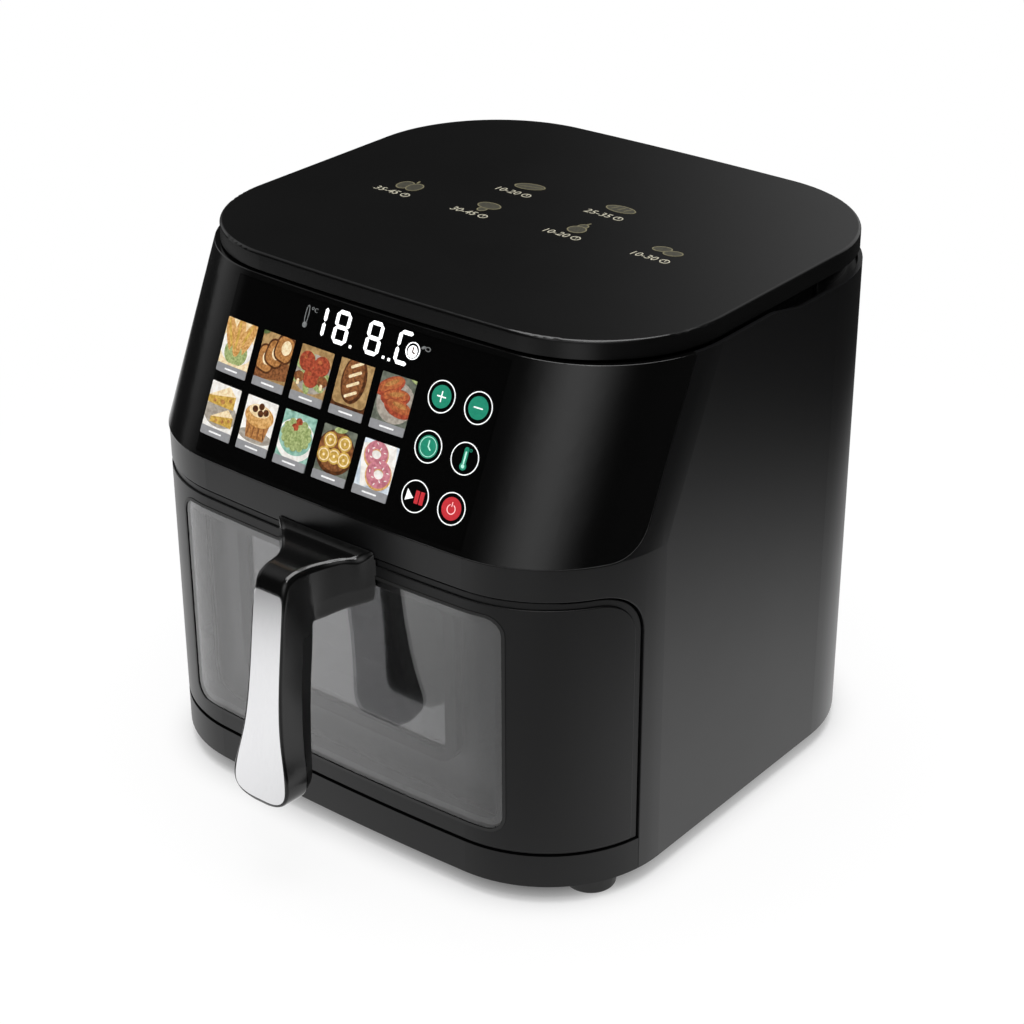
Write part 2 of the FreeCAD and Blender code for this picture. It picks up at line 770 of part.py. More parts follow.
def make_guard():
    """Stamped heater guard under the ceiling, with ring slots between spokes."""
    high = chamber_ceiling
    low = high - chamber_wall
    centre = V(0, axis_y, low)
    lift = UP * chamber_wall
    spokes = []
    for i in range(guard_spokes):
        bar = box(0, -guard_spoke_width / 2, low - 1, guard_radius, guard_spoke_width / 2, high + 1)
        bar.rotate(V(0, 0, 0), UP, i * 360 / guard_spokes)
        spokes.append(bar.translate(V(0, axis_y, 0)))
    spokes = join(spokes)
    slots = [ring(outer, inner, centre - UP, centre + lift + UP).cut(spokes) for inner, outer in guard_slots]
    holes = [screw_hole(at, -UP, 4.4, 1.2) for at in dome_screw_points()]
    return rod(guard_radius, centre, centre + lift).cut(Part.makeCompound(slots + holes))


def coil_point(radius, degrees, z=coil_z):
    """Point on a circle round the fan axis."""
    a = math.radians(degrees)
    return V(radius * math.cos(a), axis_y + radius * math.sin(a), z)


def coil_ends():
    """Angles where the heater's two loops start and turn back, about the front."""
    return 270 + coil_gap_angle / 2, 270 - coil_gap_angle / 2 + 360 - 14


def terminal_points():
    """Plan places of the heater's two upright terminals."""
    start = coil_ends()[0]
    points = []
    for radius in (coil_outer, coil_inner):
        along = V(math.sin(math.radians(start)), -math.cos(math.radians(start)), 0)
        points.append(coil_point(radius, start) + along * terminal_bend)
    return points


def make_coil():
    """Tubular heater: an outer loop, a tight turn and an inner loop back, both ends bent up to terminals."""
    start, turn = coil_ends()
    middle = (start + turn) / 2
    mean = (coil_outer + coil_inner) / 2
    bend = terminal_bend
    tip = UP * bend
    hook = V(0, 0, bend * (1 - math.sqrt(0.5)))
    outer_end, inner_end = terminal_points()
    outer_start = coil_point(coil_outer, start)
    inner_start = coil_point(coil_inner, start)
    outer_run, inner_run = outer_end - outer_start, inner_end - inner_start
    into_turn = V(-math.sin(math.radians(turn)), math.cos(math.radians(turn)), 0) * (coil_outer - mean)
    drop = math.sqrt(0.5)
    edges = [
        Part.LineSegment(V(outer_end.x, outer_end.y, terminal_top), outer_end + tip).toShape(),
        Part.Arc(outer_end + tip, outer_start + outer_run * drop + hook, outer_start).toShape(),
        Part.Arc(outer_start, coil_point(coil_outer, middle), coil_point(coil_outer, turn)).toShape(),
        Part.Arc(coil_point(coil_outer, turn), coil_point(mean, turn) + into_turn,
                 coil_point(coil_inner, turn)).toShape(),
        Part.Arc(coil_point(coil_inner, turn), coil_point(coil_inner, middle), inner_start).toShape(),
        Part.Arc(inner_start, inner_start + inner_run * drop + hook, inner_end + tip).toShape(),
        Part.LineSegment(inner_end + tip, V(inner_end.x, inner_end.y, terminal_top)).toShape(),
    ]
    path = Part.Wire(edges)
    profile = Part.Wire(Part.makeCircle(coil_radius, V(outer_end.x, outer_end.y, terminal_top), UP))
    return path.makePipeShell([profile], True, False)


def make_supports():
    """Three flat bars that carry the heater from the dome's wall."""
    high = coil_z - coil_radius - 0.1
    bars = []
    half, low = support_half_width, high - support_wall
    for i in range(support_count):
        bar = box(coil_inner - 8, -half, low, dome_radius, half, high)
        tab = box(dome_radius - 3, -half, low, dome_radius, half, high + 12)
        bar = bar.fuse(tab).removeSplitter()
        bar.rotate(V(0, 0, 0), UP, 30 + i * 360 / support_count)
        bar = bar.translate(V(0, axis_y, 0))
        bars.append(bar.common(rod(dome_radius - 0.05, V(0, axis_y, 0), V(0, axis_y, height))))
    return Part.makeCompound(bars)


def sensor_point():
    """Where the temperature probe passes through the dome."""
    x, y = sensor_place
    return V(x, axis_y + y, dome_top)


def make_sensor():
    """Temperature probe with a collar on the dome."""
    at = sensor_point()
    return rod(2, at - UP * 22, at + UP * 4).fuse(rod(5, at, at + UP * 3)).removeSplitter()


def make_thermostat():
    """Thermal cut-out on the dome, with two flat terminals."""
    x, y = thermostat_place
    base = V(x, axis_y + y, dome_top)
    parts = [rod(8, base, base + UP * 6), rod(10, base, base + UP * 1)]
    for x in (-4, 4):
        x += base.x
        parts.append(box(x - 0.4, base.y - 3, dome_top + 5, x + 0.4, base.y + 3, dome_top + 13))
    return join(parts)


def blades(count, inner, outer, low, high, wall, sweep):
    """Ring of blades that lean back from the radius by a sweep angle."""
    solids = []
    for i in range(count):
        blade = box(0, -wall / 2, low, outer - inner, wall / 2, high)
        blade.rotate(V(0, 0, 0), UP, sweep)
        blade = blade.translate(V(inner, 0, 0))
        blade.rotate(V(0, 0, 0), UP, i * 360 / count)
        solids.append(blade.translate(V(0, axis_y, 0)))
    return solids


def on_axis(radius, z_low, z_high):
    """Round bar on the fan axis."""
    return rod(radius, V(0, axis_y, z_low), V(0, axis_y, z_high))


def make_fan():
    """Convection fan: a disc with swept blades under it and a bored hub."""
    disc_low = fan_top - chamber_wall
    low = fan_top - fan_blade_height
    ribs = blades(fan_blades, fan_blade_start, fan_radius, low, fan_top, chamber_wall, fan_sweep)
    fan = join([on_axis(fan_radius - 2, disc_low, fan_top), on_axis(fan_hub, low + 6, fan_top)] + ribs)
    return fan.common(on_axis(fan_radius, 0, height)).cut(on_axis(shaft_radius + shaft_fit, 0, height))


def make_fan_nut():
    """Hexagon nut that holds the convection fan."""
    corners = [coil_point(nut_corner, 60 * i) for i in range(6)]
    points = [(at.x, at.y, 0) for at in corners]
    top = fan_top - fan_blade_height + 6
    nut = plan_prism(points, top - 4, top)
    return nut.cut(on_axis(shaft_radius + shaft_fit, 0, height))


def make_cooling_fan():
    """Cooling fan over the motor: a hub, a thin disc and swept blades."""
    low, high = shaft_top - 12, shaft_top - 1
    ribs = blades(cooling_blades, cooling_hub, cooling_radius + 2, low, high, 1.4, cooling_sweep)
    fan = join([on_axis(cooling_radius - 2, low, low + 1.2), on_axis(cooling_hub, low, high)] + ribs)
    return fan.common(on_axis(cooling_radius, 0, height)).cut(on_axis(shaft_radius + shaft_fit, 0, height))


def make_shaft():
    """Motor shaft through both fans, with softened ends."""
    profile = [(0, shaft_bottom, 0), (shaft_radius, shaft_bottom, 0.8), (shaft_radius, shaft_top, 0.8),
               (0, shaft_top, 0)]
    return turned(profile, 0, axis_y)


def make_rotor():
    """Rotor drum on the shaft."""
    low, high = core_z - 1, core_z + core_height + 1
    return on_axis(rotor_radius, low, high).cut(on_axis(shaft_radius + shaft_fit, 0, height))


def deck_screw_points():
    """Heads of the screws through the deck's feet."""
    z = chamber_ceiling + chamber_wall + deck_wall
    ys = (axis_y + deck_front + deck_screw_inset, axis_y + deck_back - deck_screw_inset)
    return [V(x, y, z) for x in (-deck_screw_x, deck_screw_x) for y in ys]


def standoff_points():
    """Plan places of the motor's standoffs."""
    x = core_half_width - standoff_inset
    ys = (axis_y + core_front + standoff_inset, axis_y + core_back - standoff_inset)
    return [(side * x, y) for side in (-1, 1) for y in ys]


def make_deck():
    """Sheet bridge that carries the motor over the dome, with flanged feet."""
    low = chamber_ceiling + chamber_wall
    half, wall = deck_half_width, deck_wall
    top = deck_z + wall
    end = half + deck_foot
    under = [(half - wall, deck_z, 3), (half - wall, low, 2), (end, low, 0)]
    over = [(end, low + wall, 0), (half, low + wall, 0.5), (half, top, 3 + wall)]
    right = under + over
    section = right + [(-x, z, r) for x, z, r in reversed(right)]
    deck = front_prism(section, axis_y + deck_front, axis_y + deck_back)
    cuts = [on_axis(deck_bore, deck_z - 5, top + 5)]
    slot_x, slot_half, slot_half_width = deck_slot
    for x in (-slot_x, slot_x):
        for y in (axis_y + deck_front + deck_slot_inset, axis_y + deck_back - deck_slot_inset):
            slot = rectangle(x - slot_half, y - slot_half_width, x + slot_half, y + slot_half_width,
                             slot_half_width - 1)
            cuts.append(plan_prism(slot, deck_z - 5, top + 5))
    cuts += [screw_hole(at, -UP, 3, 1.5) for at in deck_screw_points()]
    cuts += [screw_hole(V(x, y, deck_z), UP, 5) for x, y in standoff_points()]
    return deck.cut(Part.makeCompound(cuts))


def make_deck_screws():
    """Screws through the deck's feet into the chamber's ceiling."""
    return Part.makeCompound([screw(at, -UP, 2.6, 3.0, 1.5, 1.8) for at in deck_screw_points()])


def make_standoffs():
    """Motor standoffs on the deck."""
    low = deck_z + deck_wall
    posts = []
    for x, y in standoff_points():
        posts.append(ring(standoff_radius, 1.5 + shaft_fit, V(x, y, low), V(x, y, core_z)))
    return Part.makeCompound(posts)


def make_motor_screws():
    """Long screws down through the core and standoffs into the deck."""
    top = core_z + core_height
    length = top - deck_z + 1
    return Part.makeCompound([screw(V(x, y, top), -UP, length) for x, y in standoff_points()])


def make_core():
    """Laminated motor core with a rotor bore and a winding window."""
    low, high = core_z, core_z + core_height
    outline = rectangle(-core_half_width, axis_y + core_front, core_half_width, axis_y + core_back, 2)
    core = plan_prism(outline, low, high)
    half, near, far = core_window
    window = plan_prism(rectangle(-half, axis_y + near, half, axis_y + far, 1.5), low - 1, high + 1)
    holes = [screw_hole(V(x, y, high), -UP, core_height + 3) for x, y in standoff_points()]
    return core.cut(Part.makeCompound([on_axis(rotor_radius + rotor_gap, low - 1, high + 1), window] + holes))


def make_winding():
    """Wound bobbin round the rear leg of the core."""
    half, near, far = core_window
    core_top = core_z + core_height
    outline = rectangle(-winding_half_width, axis_y + near + 1.5, winding_half_width,
                        axis_y + core_back + winding_build, 4)
    block = plan_prism(outline, core_z - winding_build, core_top + winding_build)
    leg = box(-half, axis_y + far - 0.2, core_z - 0.2, half, axis_y + core_back + 0.2, core_top + 0.2)
    return block.cut(leg)


def make_bridges():
    """Two bearing bridges that span the rotor, above and below the core."""
    core_top = core_z + core_height
    half, wide, leg = bridge_half_length, bridge_half_width, bridge_leg
    spans = ((core_z - leg, core_z - leg, core_z), (core_top + leg - bridge_wall, core_top, core_top + leg))
    solids = []
    for low, leg_low, leg_high in spans:
        plate = box(-half, axis_y - wide, low, half, axis_y + wide, low + bridge_wall)
        legs = [box(x, axis_y - wide, leg_low, x + leg, axis_y + wide, leg_high) for x in (-half, half - leg)]
        bore = on_axis(bearing_radius + 0.02, leg_low - 5, leg_high + 5)
        solids.append(join([plate] + legs).cut(bore))
    return Part.makeCompound(solids)


def make_bearings():
    """Sintered bushes in the bearing bridges."""
    core_top = core_z + core_height
    spans = ((core_z - 7, core_z - 1.6), (core_top + 1.6, core_top + 7))
    bore = shaft_radius + shaft_fit
    bushes = [on_axis(bearing_radius, low, high).cut(on_axis(bore, low, high)) for low, high in spans]
    return Part.makeCompound(bushes)


def make_duct():
    """Exhaust duct from the chamber's back wall to the grille."""
    front = chamber_back_y + chamber_wall
    back = shell_back_y - shell_wall - 2.6
    half, low, high, wall = duct_half_width, duct_bottom, duct_top, duct_wall
    outer = front_prism(rectangle(-half - wall, low - wall, half + wall, high + wall, 4), front, back)
    inner = front_prism(rectangle(-half, low, half, high, 3), front - 1, back + 1)
    return outer.cut(inner)


def make_control_board():
    """Control board behind the fascia, on its bosses."""
    wide, tall = board_size
    board = box(-wide / 2, board_depth, -tall / 2, wide / 2, board_depth + board_wall, tall / 2)
    holes = [screw_hole(V(x, board_depth + board_wall, z), FORWARD, 7, 1.2) for x, z in boss_points()]
    return slope_frame(board.cut(Part.makeCompound(holes)))


def make_display():
    """Display and key module between the board and the fascia."""
    wide, tall = display_size
    outline = rectangle(-wide / 2, -tall / 2, wide / 2, tall / 2, 3)
    return slope_frame(front_prism(outline, board_depth - display_depth, board_depth))


def make_board_screws():
    """Screws through the control board into the fascia's bosses."""
    seat = board_depth + board_wall
    screws = [screw(V(x, seat, z), FORWARD, 7, 2.6, 1.2) for x, z in boss_points()]
    return Part.makeCompound([slope_frame(each) for each in screws])


def power_standoff_points():
    """Places of the power board's standoffs, across and up."""
    x_low, z_low, x_high, z_high = power_board_box
    across, up = power_board_inset
    return [(x, z) for x in (x_low + across, x_high - across) for z in (z_low + up, z_high - up)]


def make_power_board():
    """Power board upright behind the chamber."""
    y = chamber_back_y + chamber_wall + power_board_gap
    x_low, z_low, x_high, z_high = power_board_box
    board = box(x_low, y, z_low, x_high, y + board_wall, z_high)
    holes = [rod(1.6, V(x, y - 5, z), V(x, y + 5, z)) for x, z in power_standoff_points()]
    return board.cut(Part.makeCompound(holes))


def make_power_standoffs():
    """Snap-in standoffs of the power board."""
    front = chamber_back_y + chamber_wall
    back = front + power_board_gap
    solids = []
    for x, z in power_standoff_points():
        post = rod(3, V(x, front, z), V(x, back, z))
        peg = rod(1.5, V(x, back, z), V(x, back + board_wall + 1.5, z))
        solids.append(post.fuse(peg).removeSplitter())
    return Part.makeCompound(solids)


def make_power_components():
    """Relay, transformer, capacitor and terminal block on the power board."""
    y = chamber_back_y + chamber_wall + power_board_gap + board_wall
    relay = front_prism(rectangle(-96, 100, -78, 132, 1), y, y + 9)
    transformer = front_prism(rectangle(-76, 72, -58, 96, 1), y, y + 10)
    capacitor = rod(5, V(-66, y, 118), V(-66, y + 12, 118))
    terminals = front_prism(rectangle(-97, 70, -82, 92, 1), y, y + 7)
    return Part.makeCompound([relay, transformer, capacitor, terminals])


def make_switch():
    """Interlock microswitch behind the chamber's flange."""
    front = flange_y + chamber_wall
    back = front + switch_depth
    half, tall = switch_half_width, switch_half_height
    body = box(plunger_x - half, front, plunger_z - tall, plunger_x + half, back, plunger_z + tall)
    at = V(plunger_x, front, plunger_z)
    bore = rod(plunger_radius + shaft_fit, at + FORWARD, at - FORWARD * 15)
    tabs = []
    for z in (plunger_z - 6, plunger_z + 6):
        tabs.append(box(plunger_x - 0.4, back - 1, z - 2.5, plunger_x + 0.4, back + 6, z + 2.5))
    return join([body] + tabs).cut(bore)


def make_plunger():
    """Interlock plunger that the closed drawer holds in."""
    tip = drawer_edge_y - drawer_gap + 0.3
    end = tip + plunger_length
    profile = [(0, tip, 0), (plunger_radius, tip, 1.2), (plunger_radius, end, 0), (0, end, 0)]
    pin = Part.Face(rounded_outline(profile, place_front)).revolve(V(0, 0, 0), UP, 360)
    pin.rotate(V(0, 0, 0), V(1, 0, 0), -90)
    return pin.translate(V(plunger_x, 0, plunger_z))


def window_prism(grow, y_low=None, y_high=None):
    """Front-view outline of the window, grown by a margin, through the drawer front."""
    low = front_y - beyond if y_low is None else y_low
    high = front_y + drawer_wrap if y_high is None else y_high
    half = window_half_width + grow
    outline = rectangle(-half, window_bottom - grow, half, window_top + grow, window_corner + grow)
    return front_prism(outline, low, high)


def basket_screw_points():
    """Seats of the screws sunk in the drawer's top web, over the basket's front tab."""
    z = drawer_top - drawer_gap - sunk_head
    return [V(x, basket_front_y - basket_tab / 2, z) for x in (-basket_screw_x, basket_screw_x)]


def cover_screw_points():
    """Seats of the screws sunk in the back of the drawer's inner cover."""
    y = drawer_edge_y - drawer_gap - sunk_head
    return [V(x, y, z) for x in (-cover_screw_x, cover_screw_x) for z in cover_screw_zs]


def handle_screw_points():
    """Heads of the handle screws inside the drawer front."""
    seat = front_y + drawer_field + drawer_wall + 0.15
    return [V(x, seat, handle_screw_z) for x in (-handle_screw_x, handle_screw_x)]


def make_drawer_front():
    """Bowed drawer front with a raised field, a window opening and screw bosses."""
    gap = drawer_gap
    back_face = drawer_field + drawer_wall
    skin = low_form(drawer_field, skirt_top, drawer_top).cut(low_form(back_face, 0, height))
    rim_y = front_y + drawer_field
    skin = skin.common(drawer_region(gap, gap, gap))
    skin = soften(skin, [V(0, rim_y, drawer_top - gap), V(0, rim_y, skirt_top + gap)])
    field = low_form(0, skirt_top, drawer_top).cut(low_form(drawer_field + 0.5, 0, height))
    field = field.common(drawer_region(drawer_rim_top, drawer_rim_side, drawer_rim_bottom + gap))
    field_low = skirt_top + drawer_rim_bottom + gap
    field = soften(field, [V(0, front_y, drawer_top - drawer_rim_top), V(0, front_y, field_low)])
    inside = low_form(drawer_field + 1, skirt_top, drawer_top)
    boss_end = drawer_edge_y - drawer_gap - ledge_wall
    bosses = []
    for at in cover_screw_points():
        boss = rod(cover_boss_radius, V(at.x, front_y, at.z), V(at.x, boss_end, at.z))
        bosses.append(boss.common(inside))
    front = join([skin, field] + bosses).cut(window_prism(gasket_line + 0.1))
    holes = [screw_hole(at, FORWARD, 10) for at in cover_screw_points()]
    holes += [screw_hole(at, FORWARD, handle_screw_length + 1) for at in handle_screw_points()]
    return front.cut(Part.makeCompound(holes))


def make_inner_cover():
    """Inner cover of the drawer: top web, round corners, back wall and floor, with the basket's passage."""
    gap = drawer_gap
    inset = gap + ledge_wall
    hollow = drawer_region(inset, inset, inset)
    cover = low_form(drawer_field + drawer_wall + 0.15, skirt_top, drawer_top)
    cover = cover.common(drawer_region(gap, gap, gap)).cut(hollow)
    cover = cover.cut(basket_form(0.4, height))
    holes = [sunk_hole(at, FORWARD) for at in cover_screw_points()]
    holes += [sunk_hole(at, -UP) for at in basket_screw_points()]
    return cover.cut(Part.makeCompound(holes))


def make_cover_screws():
    """Screws through the back of the inner cover into the drawer front."""
    return Part.makeCompound([screw(at, FORWARD, 8, 3.0, 1.5, 1.0) for at in cover_screw_points()])


def basket_form(grow, z_top):
    """Basket outer form with a rounded bottom edge, grown by a margin."""
    half = basket_half_width + grow
    front, back = basket_corner_front + grow, basket_corner_back + grow
    points = [(-half, basket_front_y - grow, front), (half, basket_front_y - grow, front),
              (half, basket_back_y + grow, back), (-half, basket_back_y + grow, back)]
    block = plan_prism(points, basket_bottom - grow, z_top)
    low_edges = [edge for edge in block.Edges if edge.BoundBox.ZMax < block.BoundBox.ZMin + 0.1]
    return block.makeFillet(basket_fillet + grow, low_edges)


def make_basket():
    """Pressed steel basket with a rim and a window opening in its front wall."""
    wall = basket_wall
    inner = basket_form(-wall, basket_top + 1)
    rim = basket_form(basket_rim, basket_top).common(
        box(-half_width, front_y, basket_top - wall, half_width, back_y, basket_top))
    rim = rim.cut(box(-half_width, front_y, 0, half_width, drawer_edge_y + 1, height))
    tab = box(-basket_tab_half_width, basket_front_y - basket_tab, basket_top - wall,
              basket_tab_half_width, basket_front_y + basket_wall, basket_top)
    basket = join([basket_form(0, basket_top), rim, tab]).cut(inner)
    half = inner_window_half_width
    opening = front_prism(rectangle(-half, inner_window_bottom, half, inner_window_top, 6),
                          basket_front_y - 5, basket_front_y + 5)
    holes = [screw_hole(at, -UP, 5) for at in basket_screw_points()]
    return basket.cut(Part.makeCompound([opening] + holes))


def make_basket_screws():
    """Screws down through the drawer's top web into the basket's tab."""
    return Part.makeCompound([screw(at, -UP, 4.5, 3.0, 1.5, 1.0) for at in basket_screw_points()])


def make_gasket():
    """Black window gasket: a thin line round the glass and a lip behind it."""
    low, high = window_bottom - beyond, window_top + beyond
    inside = low_form(glass_wall + 2.2, 0, height)
    line = low_form(-seam_gap, low, high).cut(inside)
    lip = low_form(glass_wall + 0.3, low, high).cut(inside)
    frame = line.common(window_prism(gasket_line)).cut(window_prism(0.05))
    lip = lip.common(window_prism(gasket_line)).cut(window_prism(-gasket_lip))
    return join([frame, lip])


def make_outer_glass():
    """Bowed outer window glass."""
    pane = low_form(0.2, window_bottom - beyond, window_top + beyond)
    pane = pane.cut(low_form(glass_wall + 0.2, 0, height))
    return pane.common(window_prism(0))


def inner_pane(grow, y_low, y_high):
    """Flat pane or cut with the inner window's outline, grown by a margin."""
    half = inner_window_half_width + grow
    low, high = inner_window_bottom - grow, inner_window_top + grow
    return front_prism(rectangle(-half, low, half, high, 6 + grow), y_low, y_high)


def make_inner_glass():
    """Flat inner glass on the basket's front wall."""
    land = inner_frame_land
    return inner_pane(land, basket_front_y - inner_glass_wall, basket_front_y)


def make_inner_frame():
    """Frame that clamps the inner glass to the basket."""
    land = inner_frame_land
    front = basket_front_y - inner_glass_wall - 2
    frame = inner_pane(land + 3.5, front, basket_front_y)
    frame = frame.cut(inner_pane(land + 0.1, front + 2, basket_front_y + 1))
    return frame.cut(inner_pane(0, front - 1, basket_front_y + 1))


def make_crisper():
    """Crisper plate: slotted sheet with a turned-down lip, a lift hole and holes for its bumpers."""
    inner = basket_half_width - basket_wall - crisper_inset
    front = basket_front_y + basket_wall + crisper_inset
    back = basket_back_y - basket_wall - crisper_inset
    top = crisper_height + crisper_wall

    def form(inset, z_low, z_high):
        drawn_in = basket_wall + crisper_inset + inset
        near, far = basket_corner_front - drawn_in, basket_corner_back - drawn_in
        points = [(-inner + inset, front + inset, near), (inner - inset, front + inset, near),
                  (inner - inset, back - inset, far), (-inner + inset, back - inset, far)]
        return plan_prism(points, z_low, z_high)

    tray = form(0, top - crisper_lip, top)
    tray = tray.cut(form(crisper_wall, 0, crisper_height))
    length, width = crisper_slot
    middle_y = (front + back) / 2
    cuts = [rod(lift_hole, V(0, middle_y, 0), V(0, middle_y, height))]
    for i in range(crisper_columns):
        for j in range(crisper_rows):
            x = (i - (crisper_columns - 1) / 2) * crisper_pitch[0]
            y = middle_y + (j - (crisper_rows - 1) / 2) * crisper_pitch[1]
            if abs(x) < length / 2 + lift_hole and abs(y - middle_y) < lift_hole + width:
                continue
            cuts.append(plan_prism(rectangle(x - length / 2, y - width / 2, x + length / 2, y + width / 2,
                                             width / 2 - 0.01), 0, height))
    cuts += four(bumper_places, lambda x, y: rod(bumper_button + shaft_fit, V(x, y, 0), V(x, y, height)))
    return tray.cut(Part.makeCompound(cuts))


def make_bumpers():
    """Silicone bumpers under the crisper plate, buttoned through it."""
    floor = basket_bottom + basket_wall + 0.2
    top = crisper_height + crisper_wall
    profile = [(0, floor, 0), (bumper_radius, floor, 2), (bumper_radius, crisper_height, 0),
               (bumper_button, crisper_height, 0), (bumper_button, top, 0), (bumper_button + 1.5, top, 0),
               (bumper_button + 0.5, top + 2, 1), (0, top + 2, 0)]
    return Part.makeCompound(four(bumper_places, lambda x, y: turned(profile, x, y)))


def grip_front(z):
    """Front of the grip at one height: it leans out towards the bottom."""
    return front_y - handle_reach + grip_lean * (z - grip_toe)


def handle_section(outer, inner, halves, soft):
    """Six-cornered section across the handle, between an outer and an inner point of its side view."""
    start = V(0, *outer)
    through = V(0, *inner).sub(start)
    depth = through.Length
    step = through.multiply(1 / depth)
    half_outer, half_middle, half_inner = halves
    middle = depth * (1 - rear_half_depth / grip_depth)
    soft = min(soft, half_outer / 3, depth / 6)
    right = [(half_outer, 0, soft), (half_middle, middle, soft), (half_inner, depth, soft)]
    points = right + [(-a, b, r) for a, b, r in reversed(right)]
    return rounded_outline(points, lambda a, b: start + step * b + V(a, 0, 0))


def arm_sections():
    """Sections of the arm, from its wide foot on the drawer to the shoulder over the grip."""
    sections = []
    for reach, top, underside, half in arm_stations:
        y = front_y - reach
        sections.append(handle_section((y, top), (y, underside), (half - 1.4, half, half - 0.6), arm_soft))
    pivot_reach, pivot_z = shoulder_pivot
    for reach, z, angle, half in shoulder_stations:
        across = shoulder_inner_radius * math.cos(math.radians(angle))
        rise = shoulder_inner_radius * math.sin(math.radians(angle))
        inner = (front_y - pivot_reach + across, pivot_z + rise)
        halves = (half - 1.7, half, half - 0.4)
        sections.append(handle_section((front_y - reach, z), inner, halves, shoulder_soft))
    return sections


def grip_sections():
    """Sections of the grip, from the shoulder down to its round end."""
    sections = []
    for z_front, z_rear, *halves in grip_stations:
        outer = (grip_front(z_front) - grip_proud, z_front)
        inner = (grip_front(z_rear) + grip_depth, z_rear)
        sections.append(handle_section(outer, inner, halves, grip_soft))
    for angle in grip_end_angles:
        sink = math.sin(math.radians(angle)) ** grip_end_power
        narrow = math.cos(math.radians(angle)) ** grip_end_power
        z = grip_low - (grip_low - grip_end) * sink
        shrink = grip_end_shrink * sink ** 4
        outer = (grip_front(z) - grip_proud + shrink / 3, z)
        inner = (grip_front(z) + grip_depth - shrink, z)
        sections.append(handle_section(outer, inner, [half * narrow for half in halves], grip_soft))
    return sections


def make_handle():
    """Whole handle, lofted from its foot on the drawer over the shoulder and down the grip."""
    form = Part.makeLoft(arm_sections() + grip_sections(), True, False)
    over_glass = low_form(-0.5, 0, window_top + gasket_line + 0.5)
    over_band = low_form(-0.5, drawer_top - drawer_gap, height)
    flat_front = split_slab(-grip_depth, 0, 0, insert_top + 4)
    return form.cut(low_form(0, 0, height)).cut(over_glass).cut(over_band).cut(flat_front)


def split_slab(depth_low, depth_high, z_low, z_high, half=40.0):
    """Slab parallel to the grip's leaning front, between two depths behind it."""
    corners = [(grip_front(z_low) + depth_low, z_low, 0), (grip_front(z_high) + depth_low, z_high, 0),
               (grip_front(z_high) + depth_high, z_high, 0), (grip_front(z_low) + depth_high, z_low, 0)]
    slab = side_prism(corners)
    return slab.common(box(-half, front_y - 2 * beyond, 0, half, front_y, height))


def insert_outline(gap):
    """Front-view prism of the handle insert: it follows the grip's width, with a round lower end."""
    right = [V(half - gap if half else 0, 0, z + (gap if z < grip_low else 0)) for half, z in insert_edge]
    left = [V(-point.x, 0, point.z) for point in reversed(right[:-1])]
    lower = Part.BSplineCurve()
    lower.interpolate(right + left)
    half = right[0].x
    top = insert_top - gap
    corner = insert_corner * (1 - math.sqrt(0.5))
    start, end = V(-half, 0, top - insert_corner), V(insert_corner - half, 0, top)
    left_corner = Part.Arc(start, V(corner - half, 0, top - corner), end).toShape()
    right_corner = left_corner.mirror(V(0, 0, 0), V(1, 0, 0))
    left_side = Part.makeLine(V(-half, 0, right[0].z), start)
    right_side = left_side.mirror(V(0, 0, 0), V(1, 0, 0))
    cap = Part.makeLine(end, V(-end.x, 0, top))
    edges = Part.__sortEdges__([lower.toShape(), left_side, left_corner, cap, right_corner, right_side])
    return Part.Face(Part.Wire(edges)).extrude(FORWARD * body_depth)


def make_handle_front():
    """Gloss front moulding of the handle: arm and the front of the grip, recessed for the insert."""
    low = grip_end - 2
    rear = split_slab(grip_depth - rear_half_depth, grip_depth + 20, low, grip_inner_z)
    pocket = split_slab(-5, insert_wall, low, insert_top + 2).common(insert_outline(0))
    holes = [screw_hole(at, FORWARD, handle_screw_length + 1) for at in handle_screw_points()]
    return make_handle().cut(rear).cut(pocket).cut(Part.makeCompound(holes))


def make_handle_rear():
    """Matt rear moulding of the grip."""
    slab = split_slab(grip_depth - rear_half_depth + 0.05, grip_depth + 20, grip_end - 2, grip_inner_z - 0.05)
    return make_handle().common(slab)


def make_insert():
    """Brushed metal insert in the front of the grip."""
    plate = split_slab(0.0, insert_wall - 0.05, grip_end - 2, insert_top + 2)
    return plate.common(insert_outline(0.15)).common(make_handle())


def make_handle_screws():
    """Screws from inside the drawer front into the handle's arm."""
    return Part.makeCompound([screw(at, FORWARD, handle_screw_length) for at in handle_screw_points()])


